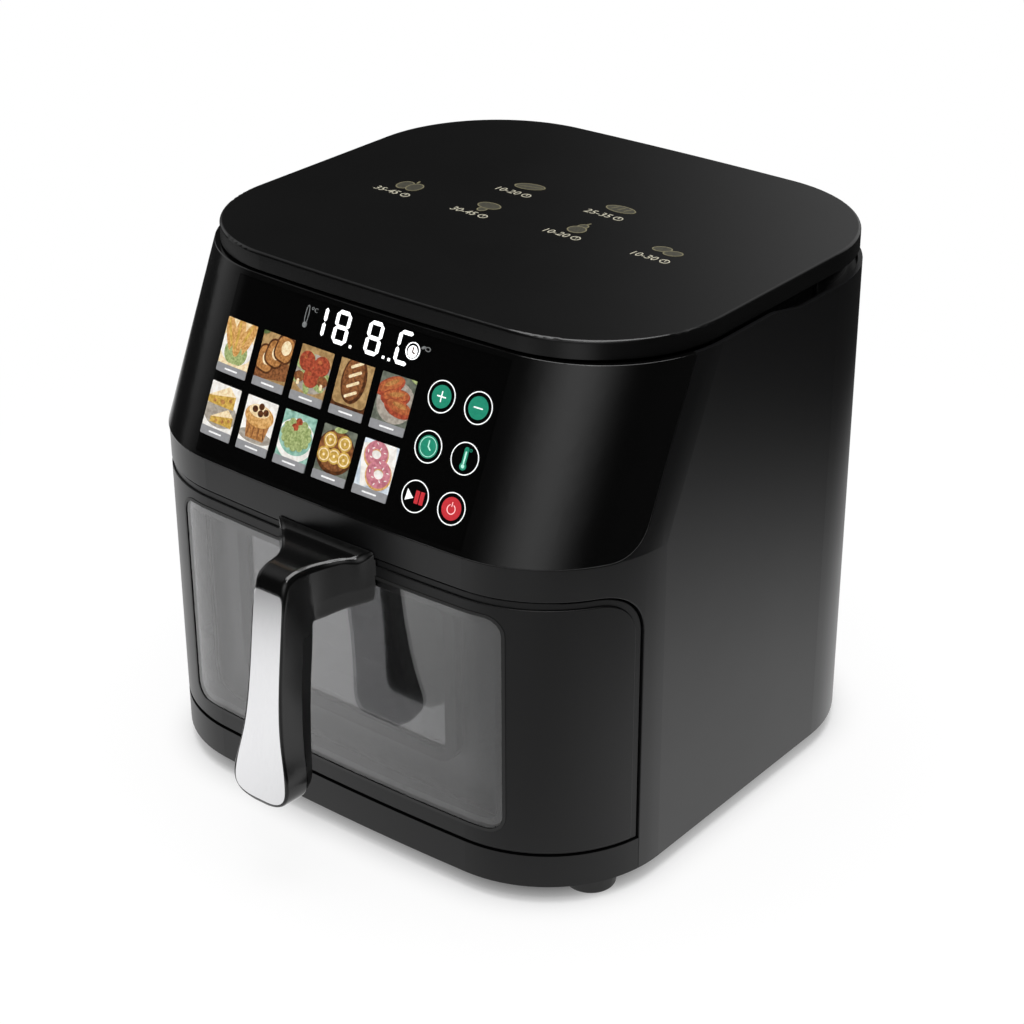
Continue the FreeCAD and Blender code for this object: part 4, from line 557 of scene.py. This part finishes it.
@dataclass
class KeyPicture:
    """One picture key: a backdrop, a motif and a caption band."""

    motif: Motif
    width: float
    tall: float
    corner: float = 0.5
    band: float = 4.6
    bar_share: float = 0.42
    bar_tall: float = 0.9
    motif_scale: float = 1.28

    def draw(self, sheet: PrintSheet) -> None:
        """Prints the whole key on a sheet whose origin is the key's centre."""
        pictures: dict[Motif, tuple[LitInk, Callable[[PrintSheet], None]]] = {
            Motif.CORN: (INK.cream, self.corn), Motif.BREAD: (INK.wood, self.bread),
            Motif.TOMATOES: (INK.wood, self.tomatoes), Motif.RYE: (INK.bark, self.rye),
            Motif.PUMPKIN: (INK.slate, self.pumpkin), Motif.CHEESE: (INK.china, self.cheese),
            Motif.MUFFIN: (INK.china, self.muffin), Motif.PEAS: (INK.teal, self.peas),
            Motif.LEMONS: (INK.slate, self.lemons), Motif.RINGS: (INK.sky, self.rings)}
        backdrop, draw_motif = pictures[self.motif]
        sheet.bar(0, 0, self.width, self.tall, backdrop, self.corner)
        sheet.crop = (self.width, self.tall)
        sheet.fit = Matrix.Translation((0, self.band / 2, 0)) @ Matrix.Scale(self.motif_scale, 4)
        draw_motif(sheet)
        sheet.fit = Matrix.Identity(4)
        low = (self.band - self.tall) / 2
        sheet.bar(0, low, self.width, self.band, INK.caption, self.corner)
        sheet.bar(0, low, self.width * self.bar_share, self.bar_tall, INK.caption_bar, 0.4)

    def corn(self, sheet: PrintSheet) -> None:
        """Three golden cobs fanned on a plate."""
        sheet.disc(0, -1.5, 9.8, 7.0, INK.china)
        for u, turn in ((-4.6, 24), (4.6, -24), (0, 0)):
            sheet.disc(u * 0.62, -4.2, 3.6, 4.4, INK.leaf, turn)
            sheet.disc(u, 2.8, 2.9, 8.2, INK.gold, turn)
            sheet.disc(u - 0.7, 3.4, 0.7, 6.4, INK.lemon, turn)

    def bread(self, sheet: PrintSheet) -> None:
        """Overlapping slices with dark crusts."""
        sheet.bar(0, -5.5, 20, 7, INK.brown, 1.2, 8)
        for u, v in ((-4.4, -1.5), (0, 1.6), (4.4, 4.6)):
            sheet.bar(u, v, 10.6, 11.4, INK.bark, 3.6, -12)
            sheet.bar(u, v, 9.0, 9.8, INK.amber, 3.0, -12)
            sheet.disc(u + 0.8, v + 0.6, 2.6, 3.0, INK.cream, -12)
        sheet.disc(-7.0, 9.4, 2.2, 1.0, INK.moss, 30)

    def tomatoes(self, sheet: PrintSheet) -> None:
        """Roast tomatoes and mushrooms on leaves."""
        sheet.disc(0, -1, 9.9, 8.0, INK.shade)
        for step in range(7):
            angle = math.tau * step / 7
            sheet.disc(7 * math.cos(angle), 5.4 * math.sin(angle) - 1, 3.4, 1.7, INK.leaf, 57 * step)
        for u, v in ((-4, 3.4), (4, 3.0), (0, -2.6)):
            sheet.disc(u, v, 4.2, 4.0, INK.scarlet)
            sheet.disc(u - 1.2, v + 1.4, 1.1, 0.8, INK.orange)
        for u, v in ((-6.2, -3.4), (6.2, -2.8)):
            sheet.disc(u, v, 2.6, 2.2, INK.brown)
            sheet.bar(u, v - 2.2, 1.3, 2.4, INK.cream, 0.5)

    def rye(self, sheet: PrintSheet) -> None:
        """A dark scored loaf on a board."""
        sheet.bar(0, 2, 17.5, 20.5, INK.wood, 2.5)
        sheet.disc(0, 2.2, 6.4, 9.6, INK.bark)
        sheet.disc(-0.4, 2.4, 5.2, 8.6, INK.brown)
        for v in (-3.6, 0.4, 4.4, 8.2):
            sheet.bar(0, v, 6.6, 1.2, INK.cream, 0.5, 28)

    def pumpkin(self, sheet: PrintSheet) -> None:
        """Roast wedges, nested."""
        sheet.disc(1, -1, 9.3, 8.4, INK.shade)
        for u, v, turn in ((-3.2, 4.6, 30), (0.4, 0.8, 12), (3.0, -3.0, -8)):
            sheet.disc(u, v, 7.2, 3.4, INK.scarlet, turn)
            sheet.disc(u + 0.2, v + 0.8, 6.2, 2.3, INK.orange, turn)
            sheet.disc(u + 0.4, v + 1.4, 3.6, 0.9, INK.amber, turn)
        sheet.disc(6.4, 10.4, 3.4, 1.2, INK.leaf, -35)
        sheet.disc(3.6, 11.4, 2.4, 0.9, INK.moss, -15)

    def cheese(self, sheet: PrintSheet) -> None:
        """Two pale wedges with holes."""
        sheet.disc(0, -3, 9.8, 5.6, INK.shade)
        for u, v, size in ((-1.0, 3.4, 1.0), (1.6, -4.6, 0.8)):
            wedge = ((-8.0, -3.2), (7.6, -3.2), (7.6, 2.4), (-8.0, -0.4))
            top = ((-8.0, -0.4), (7.6, 2.4), (3.0, 5.6))
            sheet.shape([(u + size * a, v + size * b) for a, b in wedge], INK.lemon)
            sheet.shape([(u + size * a, v + size * b) for a, b in top], INK.cream)
            for a, b, radius in ((-3.6, -1.6, 0.9), (1.0, -1.2, 1.2), (5.2, 0.2, 1.0)):
                sheet.disc(u + size * a, v + size * b, size * radius, size * radius * 0.8, INK.amber)

    def muffin(self, sheet: PrintSheet) -> None:
        """A pleated cup with a domed top and berries."""
        sheet.disc(0, -6.2, 9.4, 2.8, INK.shade)
        sheet.shape(((-6.8, 0.5), (-5.0, -7.4), (5.0, -7.4), (6.8, 0.5)), INK.amber)
        for u in (-4.2, -1.4, 1.4, 4.2):
            sheet.bar(u, -3.4, 0.6, 6.6, INK.brown, 0.2, u * 2.2)
        sheet.disc(0, 2.2, 8.0, 4.6, INK.gold)
        sheet.disc(-0.6, 4.2, 5.8, 2.6, INK.cream)
        for u, v in ((-3.0, 4.6), (0.2, 6.2), (3.2, 4.4), (0.4, 3.4)):
            sheet.disc(u, v, 1.5, 1.4, INK.bark)

    def peas(self, sheet: PrintSheet) -> None:
        """A round bowl heaped with peas and a few red berries."""
        sheet.disc(0, -1.6, 10.2, 8.6, INK.china)
        sheet.disc(0, -0.6, 8.8, 7.2, INK.teal)
        for turn, radius in ((12, 6.4), (8, 3.6), (1, 0.0)):
            for step in range(turn):
                angle = math.tau * (step + 0.5 * (turn == 8)) / turn
                ink = INK.scarlet if (step * 5 + turn) % 9 == 0 else INK.leaf
                sheet.disc(radius * math.cos(angle), 0.8 * radius * math.sin(angle) + 0.6, 1.8, 1.7, ink)
        sheet.disc(-3.0, 10.8, 3.6, 1.2, INK.moss, 18)

    def lemons(self, sheet: PrintSheet) -> None:
        """Halved lemons in a dark dish."""
        sheet.disc(0, -0.6, 9.8, 9.0, INK.bark)
        sheet.disc(0, 0, 8.8, 8.0, INK.brown)
        for u, v in ((-3.8, 3.6), (3.8, 3.8), (0, -2.2), (-5.2, -2.6), (5.2, -2.4)):
            sheet.disc(u, v, 3.4, 3.2, INK.lemon)
            sheet.ring(u, v, 2.7, 2.5, 0.5, INK.cream)
            sheet.disc(u, v, 0.6, 0.6, INK.cream)
        sheet.disc(0.4, 8.6, 3.2, 1.3, INK.leaf, 12)

    def rings(self, sheet: PrintSheet) -> None:
        """Two pink iced rings on a napkin."""
        sheet.bar(0.6, 0.8, 17, 17, INK.china, 1.0, 14)
        for u, v, size in ((-1.4, 4.4, 5.6), (2.0, -2.8, 6.0)):
            sheet.ring(u, v - 0.5, size + 0.5, size, size * 0.66, INK.gold)
            sheet.ring(u, v, size, size * 0.94, size * 0.6, INK.pink)
            for step in range(9):
                angle = math.tau * step / 9 + 0.3
                reach = size * (0.62 + 0.12 * (-1) ** step)
                sheet.bar(u + reach * math.cos(angle), v + reach * math.sin(angle), 1.2, 0.4, INK.china,
                          0.15, 70 * step)


class Segment(Enum):
    """A bar of a seven-bar figure: its centre in half widths and half heights, and whether it is upright."""

    TOP = (0.0, 1.0, False)
    MIDDLE = (0.0, 0.0, False)
    LOW = (0.0, -1.0, False)
    TOP_LEFT = (-1.0, 0.5, True)
    TOP_RIGHT = (1.0, 0.5, True)
    LOW_LEFT = (-1.0, -0.5, True)
    LOW_RIGHT = (1.0, -0.5, True)


ONE = (Segment.TOP_RIGHT, Segment.LOW_RIGHT)
EIGHT = tuple(Segment)
CUT_EIGHT = (Segment.TOP, Segment.TOP_LEFT, Segment.LOW_LEFT, Segment.LOW)


@dataclass
class ControlPanel:
    """The lit touch panel: figures, picture keys and round keys. Places are millimetres across and up."""

    shelf: MaterialShelf
    slope: float = 0.465
    key_left: float = -95.0
    key_width: float = 22.2
    key_pitch: float = 27.4
    key_rows: tuple[Pair, ...] = ((238.6, 264.8), (207.8, 233.6))
    round_columns: Pair = (53.0, 75.5)
    round_rows: tuple[float, ...] = (261.6, 238.5, 215.5)
    round_radius: float = 8.25
    round_line: float = 0.55
    disc_radius: float = 5.8
    figure_height: float = 277.3
    figure_half: Pair = (3.9, 7.6)
    bar_half: float = 1.05
    bar_gap: float = 0.25
    figure_columns: tuple[float, ...] = (-33.6, -17.9, 3.8, 23.6)
    dots: tuple[Pair, ...] = ((-9.6, 270.2), (12.4, 270.4), (16.2, 270.2))
    dot_size: float = 1.5
    clock_place: Pair = (29.2, 277.2)
    loop_place: Pair = (36.8, 280.0)
    heat_place: Pair = (-42.2, 276.6)
    strip: float = 2.5

    def up(self, height: float) -> float:
        """Turns a height into a distance up the slope."""
        return height * math.hypot(1.0, self.slope)

    def carrier(self) -> Carrier:
        """The sloped face, with prints measured along it."""
        steep = 1 / math.hypot(1.0, self.slope)
        return Carrier(("touch_panel", "control_fascia"), Vector((0, -1, 0)), Vector((1, 0, 0)),
                       Vector((0, 0, steep)), Vector((0, 1, 0)))

    def build(self) -> list[Object]:
        """Makes every print of the panel.

        Returns:
            The finished pieces.
        """
        carrier = self.carrier()
        sheets = [self.figures(), self.round_keys(), *self.picture_keys()]
        return [sheet.lay(carrier, "housing", "touch_glass_black", self.strip) for sheet in sheets]

    def picture_keys(self) -> list[PrintSheet]:
        """Prints the ten picture keys, five to a row."""
        sheets = []
        columns = len(Motif) // len(self.key_rows)
        for place, motif in enumerate(Motif):
            low, high = self.key_rows[place // columns]
            tall = self.up(high) - self.up(low)
            sheet = PrintSheet(f"picture_key_{place + 1:02d}", self.shelf)
            middle = self.key_left + self.key_width / 2 + self.key_pitch * (place % columns)
            sheet.at = Vector((middle, (self.up(low) + self.up(high)) / 2))
            KeyPicture(motif, self.key_width, tall).draw(sheet)
            sheets.append(sheet)
        return sheets

    def round_keys(self) -> PrintSheet:
        """Prints the six round keys."""
        sheet = PrintSheet("round_keys", self.shelf)
        keys = ((self.plus, INK.green), (self.minus, INK.green), (self.clock, INK.green),
                (self.thermometer, None), (self.play, None), (self.power, INK.red))
        for place, (mark, ink) in enumerate(keys):
            sheet.level = 1
            sheet.at = Vector((self.round_columns[place % 2], self.up(self.round_rows[place // 2])))
            sheet.ring(0, 0, self.round_radius, self.round_radius, self.round_line, INK.ring)
            if ink is not None:
                sheet.disc(0, 0, self.disc_radius, self.disc_radius, ink)
            mark(sheet)
        return sheet

    def plus(self, sheet: PrintSheet) -> None:
        """A plus."""
        self.minus(sheet)
        sheet.bar(0, 0, 0.7, 5.6, INK.ring, 0.3)

    def minus(self, sheet: PrintSheet) -> None:
        """A minus."""
        sheet.bar(0, 0, 5.6, 0.7, INK.ring, 0.3)

    def clock(self, sheet: PrintSheet) -> None:
        """A clock face."""
        sheet.ring(0, 0, 5.1, 5.1, 0.35, INK.mint)
        sheet.bar(0, 1.5, 0.7, 3.6, INK.mint, 0.2)
        sheet.bar(0.9, -0.7, 0.7, 2.4, INK.mint, 0.2, 45)

    def thermometer(self, sheet: PrintSheet) -> None:
        """A green thermometer."""
        sheet.bar(0, 1.2, 2.6, 9.2, INK.green, 1.25)
        sheet.disc(0, -3.9, 2.0, 2.0, INK.green)
        sheet.bar(0, 0.4, 0.9, 6.6, INK.mint, 0.4)
        sheet.disc(0, -3.9, 1.0, 1.0, INK.mint)
        sheet.ring(2.4, 4.6, 0.8, 0.8, 0.3, INK.green)

    def play(self, sheet: PrintSheet) -> None:
        """A start triangle with two pause bars."""
        sheet.shape(((-5.6, -3.2), (-0.9, -1.0), (-5.2, 2.8)), INK.ring)
        for u in (1.2, 4.2):
            sheet.bar(u, -0.1, 2.4, 6.6, INK.red, 0.3)

    def power(self, sheet: PrintSheet) -> None:
        """A power sign."""
        sheet.ring(0, -0.3, 2.6, 2.6, 0.5, INK.blush)
        sheet.bar(0, 2.2, 1.9, 1.4, INK.red)
        sheet.bar(0, 2.2, 0.5, 2.4, INK.blush, 0.2)

    def figure(self, sheet: PrintSheet, middle: float, bars: Iterable[Segment]) -> None:
        """Prints one seven-bar figure."""
        half_width, half_tall = self.figure_half
        base = self.up(self.figure_height)
        thick = self.bar_half
        for bar in bars:
            across, rise, upright = bar.value
            reach = (half_tall / 2 if upright else half_width) - self.bar_gap
            outline = ((-reach, 0), (thick - reach, thick), (reach - thick, thick), (reach, 0),
                       (reach - thick, -thick), (thick - reach, -thick))
            turned = [(b, a) for a, b in reversed(outline)] if upright else outline
            sheet.shape([(middle + across * half_width + a, base + rise * half_tall + b) for a, b in turned],
                        INK.white)

    def figures(self) -> PrintSheet:
        """Prints the figures and the small signs beside them."""
        sheet = PrintSheet("display_figures", self.shelf)
        for middle, bars in zip(self.figure_columns, (ONE, EIGHT, EIGHT, CUT_EIGHT)):
            sheet.level = 1
            self.figure(sheet, middle, bars)
        for across, height in self.dots:
            sheet.bar(across, self.up(height), self.dot_size, self.dot_size, INK.white, 0.3)
        for place, sign in ((self.clock_place, self.clock_sign), (self.loop_place, self.loop_sign),
                            (self.heat_place, self.heat_sign)):
            sheet.at = Vector((place[0], self.up(place[1])))
            sign(sheet)
        return sheet

    def clock_sign(self, sheet: PrintSheet) -> None:
        """A clock in a ring."""
        sheet.ring(0, 0, 4.4, 4.4, 0.5, INK.white)
        sheet.disc(0, -0.4, 2.9, 3.1, INK.white)
        sheet.bar(0.1, 0.5, 0.8, 3.0, INK.bark, 0.1)
        sheet.bar(0.9, -0.9, 0.8, 1.9, INK.bark, 0.1, 60)

    def loop_sign(self, sheet: PrintSheet) -> None:
        """A drop beside a loop."""
        sheet.disc(-1.6, 0, 1.3, 0.7, INK.dim, 30)
        sheet.ring(1.2, -0.2, 1.7, 1.2, 0.4, INK.dim)

    def heat_sign(self, sheet: PrintSheet) -> None:
        """A thermometer with its degree sign."""
        sheet.ring(0, 1.6, 1.3, 5.0, 0.45, INK.dim)
        sheet.disc(0, -3.8, 1.5, 1.5, INK.dim)
        sheet.ring(3.0, 5.4, 0.8, 0.8, 0.3, INK.dim)
        sheet.figures("C", 5.4, 4.8, 3.2, INK.dim)


@dataclass
class LidPrints:
    """Six small dim pictograms with minute ranges on the lid."""

    shelf: MaterialShelf
    line: float = 0.55
    figure_size: float = 5.6
    lean: float = 0.12
    minutes_across: float = -4.6
    clock_across: float = 5.6
    drop: float = 9.6
    scale: float = 1.32

    def build(self) -> Object:
        """Prints the pictograms and lays them on the lid.

        Returns:
            The finished piece.
        """
        sheet = PrintSheet("lid_pictograms", self.shelf)
        sheet.fit = Matrix.Scale(self.scale, 4)
        rows: tuple[tuple[float, float, str, Callable[[PrintSheet], None]], ...] = (
            (-86.5, 43.1, "35-45", self.pepper), (-33.6, 83.4, "10-20", self.leaf),
            (-32.0, 43.7, "30-45", self.mushroom), (27.4, 85.3, "25-35", self.loaf),
            (27.2, 48.1, "10-20", self.pear), (83.0, 49.8, "10-30", self.beans))
        for x, y, minutes, picture in rows:
            sheet.at = Vector((x, y))
            sheet.level = 1
            picture(sheet)
            sheet.figures(minutes, self.minutes_across, -self.drop, self.figure_size, INK.lid_pale, self.lean)
            sheet.ring(self.clock_across, -self.drop, 2.2, 2.0, 0.5, INK.lid_pale)
            sheet.bar(self.clock_across, 0.6 - self.drop, 0.45, 1.6, INK.lid_pale)
        top = Carrier(("top_cover",), Vector((0, 0, 1)), Vector((1, 0, 0)), Vector((0, 1, 0)),
                      Vector((0, 0, -1)))
        return sheet.lay(top, "housing", "satin_black_lid")

    def filled(self, sheet: PrintSheet, u: float, v: float, ru: float, rv: float, turn: float = 0.0) -> None:
        """Prints a dark ellipse with a golden outline."""
        sheet.disc(u, v, ru, rv, INK.lid_dim, turn)
        sheet.ring(u, v, ru, rv, self.line, INK.lid_gold, turn)

    def pepper(self, sheet: PrintSheet) -> None:
        """A bell pepper with its stalk."""
        for u in (-2.6, 2.6):
            self.filled(sheet, u, 0, 3.6, 4.6)
        sheet.bar(0, 5.6, 0.9, 2.6, INK.lid_gold, 0.3, 12)

    def leaf(self, sheet: PrintSheet) -> None:
        """A leaf with its midrib."""
        self.filled(sheet, 0, 0, 7.0, 3.6, 14)
        sheet.bar(-0.6, -0.2, 13.0, 0.5, INK.lid_gold, 0.2, 14)

    def mushroom(self, sheet: PrintSheet) -> None:
        """A mushroom's cap and stalk."""
        self.filled(sheet, 0, -3.0, 2.2, 2.6)
        self.filled(sheet, 0, 1.6, 5.6, 3.6)

    def loaf(self, sheet: PrintSheet) -> None:
        """A scored loaf."""
        self.filled(sheet, 0, 0, 7.2, 3.6)
        for u in (-3.2, 0, 3.2):
            sheet.bar(u, 0.4, 0.6, 3.8, INK.lid_gold, 0.2, -24)

    def pear(self, sheet: PrintSheet) -> None:
        """A pear with its stalk."""
        self.filled(sheet, 0, 2.6, 2.4, 2.8)
        self.filled(sheet, 0, -1.4, 4.2, 3.8)
        sheet.bar(0.4, 6.2, 0.7, 2.2, INK.lid_gold, 0.3, -18)

    def beans(self, sheet: PrintSheet) -> None:
        """Two beans."""
        for u, v in ((-2.8, 0.8), (3.4, -0.8)):
            self.filled(sheet, u, v, 4.2, 2.8, 20)


@dataclass(frozen=True)
class Lamp:
    """A soft box: its place and aim in metres, its width and height, and its brightness."""

    name: str
    place: Point
    aim: Point
    size: Pair
    radiance: float

    def build(self) -> Object:
        """Makes the area lamp, facing its aim."""
        data = bpy.data.lights.new(self.name, "AREA")
        data.shape = "RECTANGLE"
        data.size, data.size_y = self.size
        data.energy = self.radiance * math.pi * self.size[0] * self.size[1]
        lamp = bpy.data.objects.new(self.name, data)
        facing = (Vector(self.aim) - Vector(self.place)).to_track_quat("-Z", "Y")
        lamp.matrix_world = Matrix.Translation(self.place) @ facing.to_matrix().to_4x4()
        bpy.context.scene.collection.objects.link(lamp)
        return lamp


@dataclass(frozen=True)
class SoftLight:
    """A round light of the surround that only gloss shows.

    Its heading, rise, full width and edge are degrees. Between full and edge it fades along its rim's curve,
    raised to the power of its fall.
    """

    heading: float
    rise: float
    full: float
    edge: float
    radiance: float
    rim: str = "SMOOTHSTEP"
    fall: float = 1.0

    def build(self, tree: Tree, way: Socket) -> Socket:
        """Adds the light to the world.

        Args:
            tree: The world's nodes.
            way: The direction that is looked in.

        Returns:
            The socket of its brightness that way.
        """
        heading, rise = math.radians(self.heading), math.radians(self.rise)
        axis = (math.cos(heading) * math.cos(rise), math.sin(heading) * math.cos(rise), math.sin(rise))
        near = add_node(tree, "ShaderNodeVectorMath", {"operation": "DOT_PRODUCT", 1: axis}, {0: way})
        value = add_node(tree, "ShaderNodeMapRange",
                         {"interpolation_type": self.rim, "From Min": math.cos(math.radians(self.edge)),
                          "From Max": math.cos(math.radians(self.full)), "To Min": 0.0, "To Max": 1.0},
                         {"Value": near.outputs["Value"]})
        faded = add_node(tree, "ShaderNodeMath", {"operation": "POWER", 1: self.fall}, {0: value.outputs[0]})
        bright = add_node(tree, "ShaderNodeMath", {"operation": "MULTIPLY", 1: self.radiance},
                          {0: faded.outputs[0]})
        return bright.outputs[0]


@dataclass(frozen=True)
class FloorTone:
    """A value that changes smoothly with the distance from a level box on the floor, in metres.

    The box has a place and half sizes, all 0 for a point. The levels are the values before and after the
    stretch of distances that the reach gives.
    """

    place: Point
    reach: Pair
    levels: Pair
    half: Point = (0.0, 0.0, 0.0)

    def build(self, tree: Tree, spot: Socket) -> Socket:
        """Adds the value to the floor.

        Args:
            tree: The floor's nodes.
            spot: The shaded spot.

        Returns:
            The value's socket.
        """
        moved = add_node(tree, "ShaderNodeVectorMath", {"operation": "SUBTRACT", 1: self.place}, {0: spot})
        folded = add_node(tree, "ShaderNodeVectorMath", {"operation": "ABSOLUTE"}, {0: moved.outputs[0]})
        beyond = add_node(tree, "ShaderNodeVectorMath", {"operation": "SUBTRACT", 1: self.half},
                          {0: folded.outputs[0]})
        outside = add_node(tree, "ShaderNodeVectorMath", {"operation": "MAXIMUM"}, {0: beyond.outputs[0]})
        away = add_node(tree, "ShaderNodeVectorMath", {"operation": "LENGTH"}, {0: outside.outputs[0]})
        value = add_node(tree, "ShaderNodeMapRange",
                         {"interpolation_type": "SMOOTHSTEP", "From Min": self.reach[0],
                          "From Max": self.reach[1], "To Min": self.levels[0], "To Max": self.levels[1]},
                         {"Value": away.outputs["Value"]})
        return value.outputs[0]


@dataclass
class Studio:
    """Floor, light and camera."""

    camera_place: Point = (0.7429, -0.9027, 0.7472)
    azimuth: float = 38.7
    elevation: float = 27.37
    roll: float = -0.19
    lens_mm: float = 83.9
    sensor_mm: float = 36.0
    nearest: float = 0.01
    floor_radius: float = 7.0
    floor_drop: float = 0.0002
    # How much of its own shade the floor keeps under the body and round it.
    contact: FloorTone = FloorTone((0.0, 0.029, 0.0), (0.052, 0.094), (0.95, 0.1), (0.083, 0.081, 0.0))
    shadow: FloorTone = FloorTone((0.0, 0.029, 0.0), (0.3, 0.65), (1.0, 0.0))
    # What gloss mirrors of the floor: a bright pool, dimmed at two places and lit again at one.
    pool: FloorTone = FloorTone((-0.15, -0.1, 0.0), (0.4, 0.82), (1.05, 0.03))
    shade: FloorTone = FloorTone((0.16, -0.36, 0.0), (0.12, 0.32), (0.58, 1.0))
    dusk: FloorTone = FloorTone((-0.45, -0.75, 0.0), (0.235, 0.3), (0.03, 1.0))
    spill: FloorTone = FloorTone((0.39, -0.72, 0.0), (0.06, 0.28), (1.1, 0.0))
    room_light: float = 0.022
    ambient: float = 0.3
    lamps: tuple[Lamp, ...] = (
        Lamp("top_box", (0.0, 0.1, 1.9), (0.0, 0.05, 0.0), (1.5, 1.5), 5.6),
        Lamp("key_box", (0.66, -0.94, 1.9), (0.0, -0.1, 0.2), (0.35, 0.35), 14.0),
    )
    soft_lights: tuple[SoftLight, ...] = (
        SoftLight(-66.0, 25.0, 0.0, 60.0, 1.2, "LINEAR", 5.0),
        SoftLight(94.0, 18.0, 16.0, 32.0, 0.7),
        SoftLight(180.0, 25.0, 0.0, 40.0, 0.65),
    )

    def build(self) -> None:
        """Makes the whole studio."""
        for lamp in self.lamps:
            lamp.build()
        self.floor()
        self.world()
        self.camera()
        bpy.context.scene.view_settings.view_transform = "Standard"

    def camera(self) -> None:
        """Makes the camera at the photograph's viewing angle."""
        data = bpy.data.cameras.new("camera")
        data.lens = self.lens_mm
        data.sensor_width = self.sensor_mm
        data.clip_start = self.nearest
        camera = bpy.data.objects.new("camera", data)
        turn = (Matrix.Rotation(math.radians(self.azimuth), 4, "Z")
                @ Matrix.Rotation(math.radians(90 - self.elevation), 4, "X")
                @ Matrix.Rotation(math.radians(self.roll), 4, "Z"))
        camera.matrix_world = Matrix.Translation(self.camera_place) @ turn
        bpy.context.scene.collection.objects.link(camera)
        bpy.context.scene.camera = camera

    def seen(self, tree: Tree) -> tuple[Socket, Socket]:
        """Adds the light path.

        Args:
            tree: The floor's or the world's nodes.

        Returns:
            One for a ray from the camera, and one for a ray that was mirrored or let through.
        """
        path = add_node(tree, "ShaderNodeLightPath")
        mirrored = add_node(tree, "ShaderNodeMath", {"operation": "MAXIMUM"},
                            {0: path.outputs["Is Glossy Ray"], 1: path.outputs["Is Transmission Ray"]})
        return path.outputs["Is Camera Ray"], mirrored.outputs[0]

    def floor(self) -> None:
        """Makes a white floor that keeps a faint shadow, and is a bright pool round the object in mirrors."""
        material, tree, spot = new_material("white_studio_floor")
        camera, mirrored = self.seen(tree)
        contact, shadow, pool, shade, dusk, spill = (
            tone.build(tree, spot)
            for tone in (self.contact, self.shadow, self.pool, self.shade, self.dusk, self.spill))
        shaded = add_node(tree, "ShaderNodeMath", {"operation": "MULTIPLY"}, {0: contact, 1: shadow})
        plain = add_node(tree, "ShaderNodeMath", {"operation": "SUBTRACT", 0: 1.0}, {1: shaded.outputs[0]})
        dimmed = add_node(tree, "ShaderNodeMath", {"operation": "MULTIPLY"}, {0: shade, 1: dusk})
        lit = add_node(tree, "ShaderNodeMath", {"operation": "MULTIPLY_ADD"},
                       {0: pool, 1: dimmed.outputs[0], 2: spill})
        strength = add_node(tree, "ShaderNodeMath", {"operation": "MULTIPLY_ADD"},
                            {0: mirrored, 1: lit.outputs[0], 2: camera})
        share = add_node(tree, "ShaderNodeMath", {"operation": "MULTIPLY_ADD"},
                         {0: camera, 1: plain.outputs[0], 2: mirrored})
        matt = add_node(tree, "ShaderNodeBsdfDiffuse", {"Color": linear("#fbfbfb")})
        glow = add_node(tree, "ShaderNodeEmission", {"Color": linear("#ffffff")},
                        {"Strength": strength.outputs[0]})
        mixed = add_node(tree, "ShaderNodeMixShader", None,
                         {0: share.outputs[0], 1: matt.outputs[0], 2: glow.outputs[0]})
        add_node(tree, "ShaderNodeOutputMaterial", None, {"Surface": mixed.outputs[0]})
        bm = bmesh.new()
        bmesh.ops.create_circle(bm, cap_ends=True, segments=96, radius=self.floor_radius,
                                matrix=Matrix.Translation((0, 0, -self.floor_drop)))
        new_object("floor", bm, [material])

    def world(self) -> None:
        """Makes a white surround for the camera, and a dim room with soft lights in mirrors."""
        world = bpy.data.worlds.new("studio")
        world.use_nodes = True
        tree = world.node_tree
        tree.nodes.clear()
        way = add_node(tree, "ShaderNodeTexCoord").outputs["Generated"]
        camera, mirrored = self.seen(tree)
        room = add_node(tree, "ShaderNodeMath", {"operation": "MULTIPLY", 1: self.room_light}, {0: mirrored})
        total = add_node(tree, "ShaderNodeMath", {"operation": "ADD"}, {0: camera, 1: room.outputs[0]})
        for light in self.soft_lights:
            total = add_node(tree, "ShaderNodeMath", {"operation": "MULTIPLY_ADD"},
                             {0: mirrored, 1: light.build(tree, way), 2: total.outputs[0]})
        either = add_node(tree, "ShaderNodeMath", {"operation": "MAXIMUM"}, {0: camera, 1: mirrored})
        other = add_node(tree, "ShaderNodeMath",
                         {"operation": "MULTIPLY_ADD", 1: -self.ambient, 2: self.ambient},
                         {0: either.outputs[0]})
        strength = add_node(tree, "ShaderNodeMath", {"operation": "ADD"},
                            {0: total.outputs[0], 1: other.outputs[0]})
        sky = add_node(tree, "ShaderNodeBackground", {"Color": linear("#ffffff")},
                       {"Strength": strength.outputs[0]})
        add_node(tree, "ShaderNodeOutputWorld", None, {"Surface": sky.outputs[0]})
        bpy.context.scene.world = world


def dress_solids(shelf: MaterialShelf) -> None:
    """Gives every CAD node its own finish, or else the finish of its slot.

    Args:
        shelf: Where the materials come from.
    """
    for part in frame["record"]["subparts"]:
        node = frame["nodes"][part["node"]]
        node.data.materials.clear()
        finish = NODE_FINISHES.get(part["node"], SLOT_FINISHES[part["material_slot"]])
        node.data.materials.append(shelf.get(finish))
        LOG.info("dressed %s in %s", part["node"], finish.name)


def main() -> None:
    """Builds the studio, dresses the solids and prints the panel and the lid."""
    logging.basicConfig(level=logging.INFO, format="%(message)s")
    shelf = MaterialShelf()
    Studio().build()
    dress_solids(shelf)
    for piece in (*ControlPanel(shelf).build(), LidPrints(shelf).build()):
        LOG.info("made %s with %d faces", piece.name, len(piece.data.polygons))


if __name__ == "__main__":
    main()
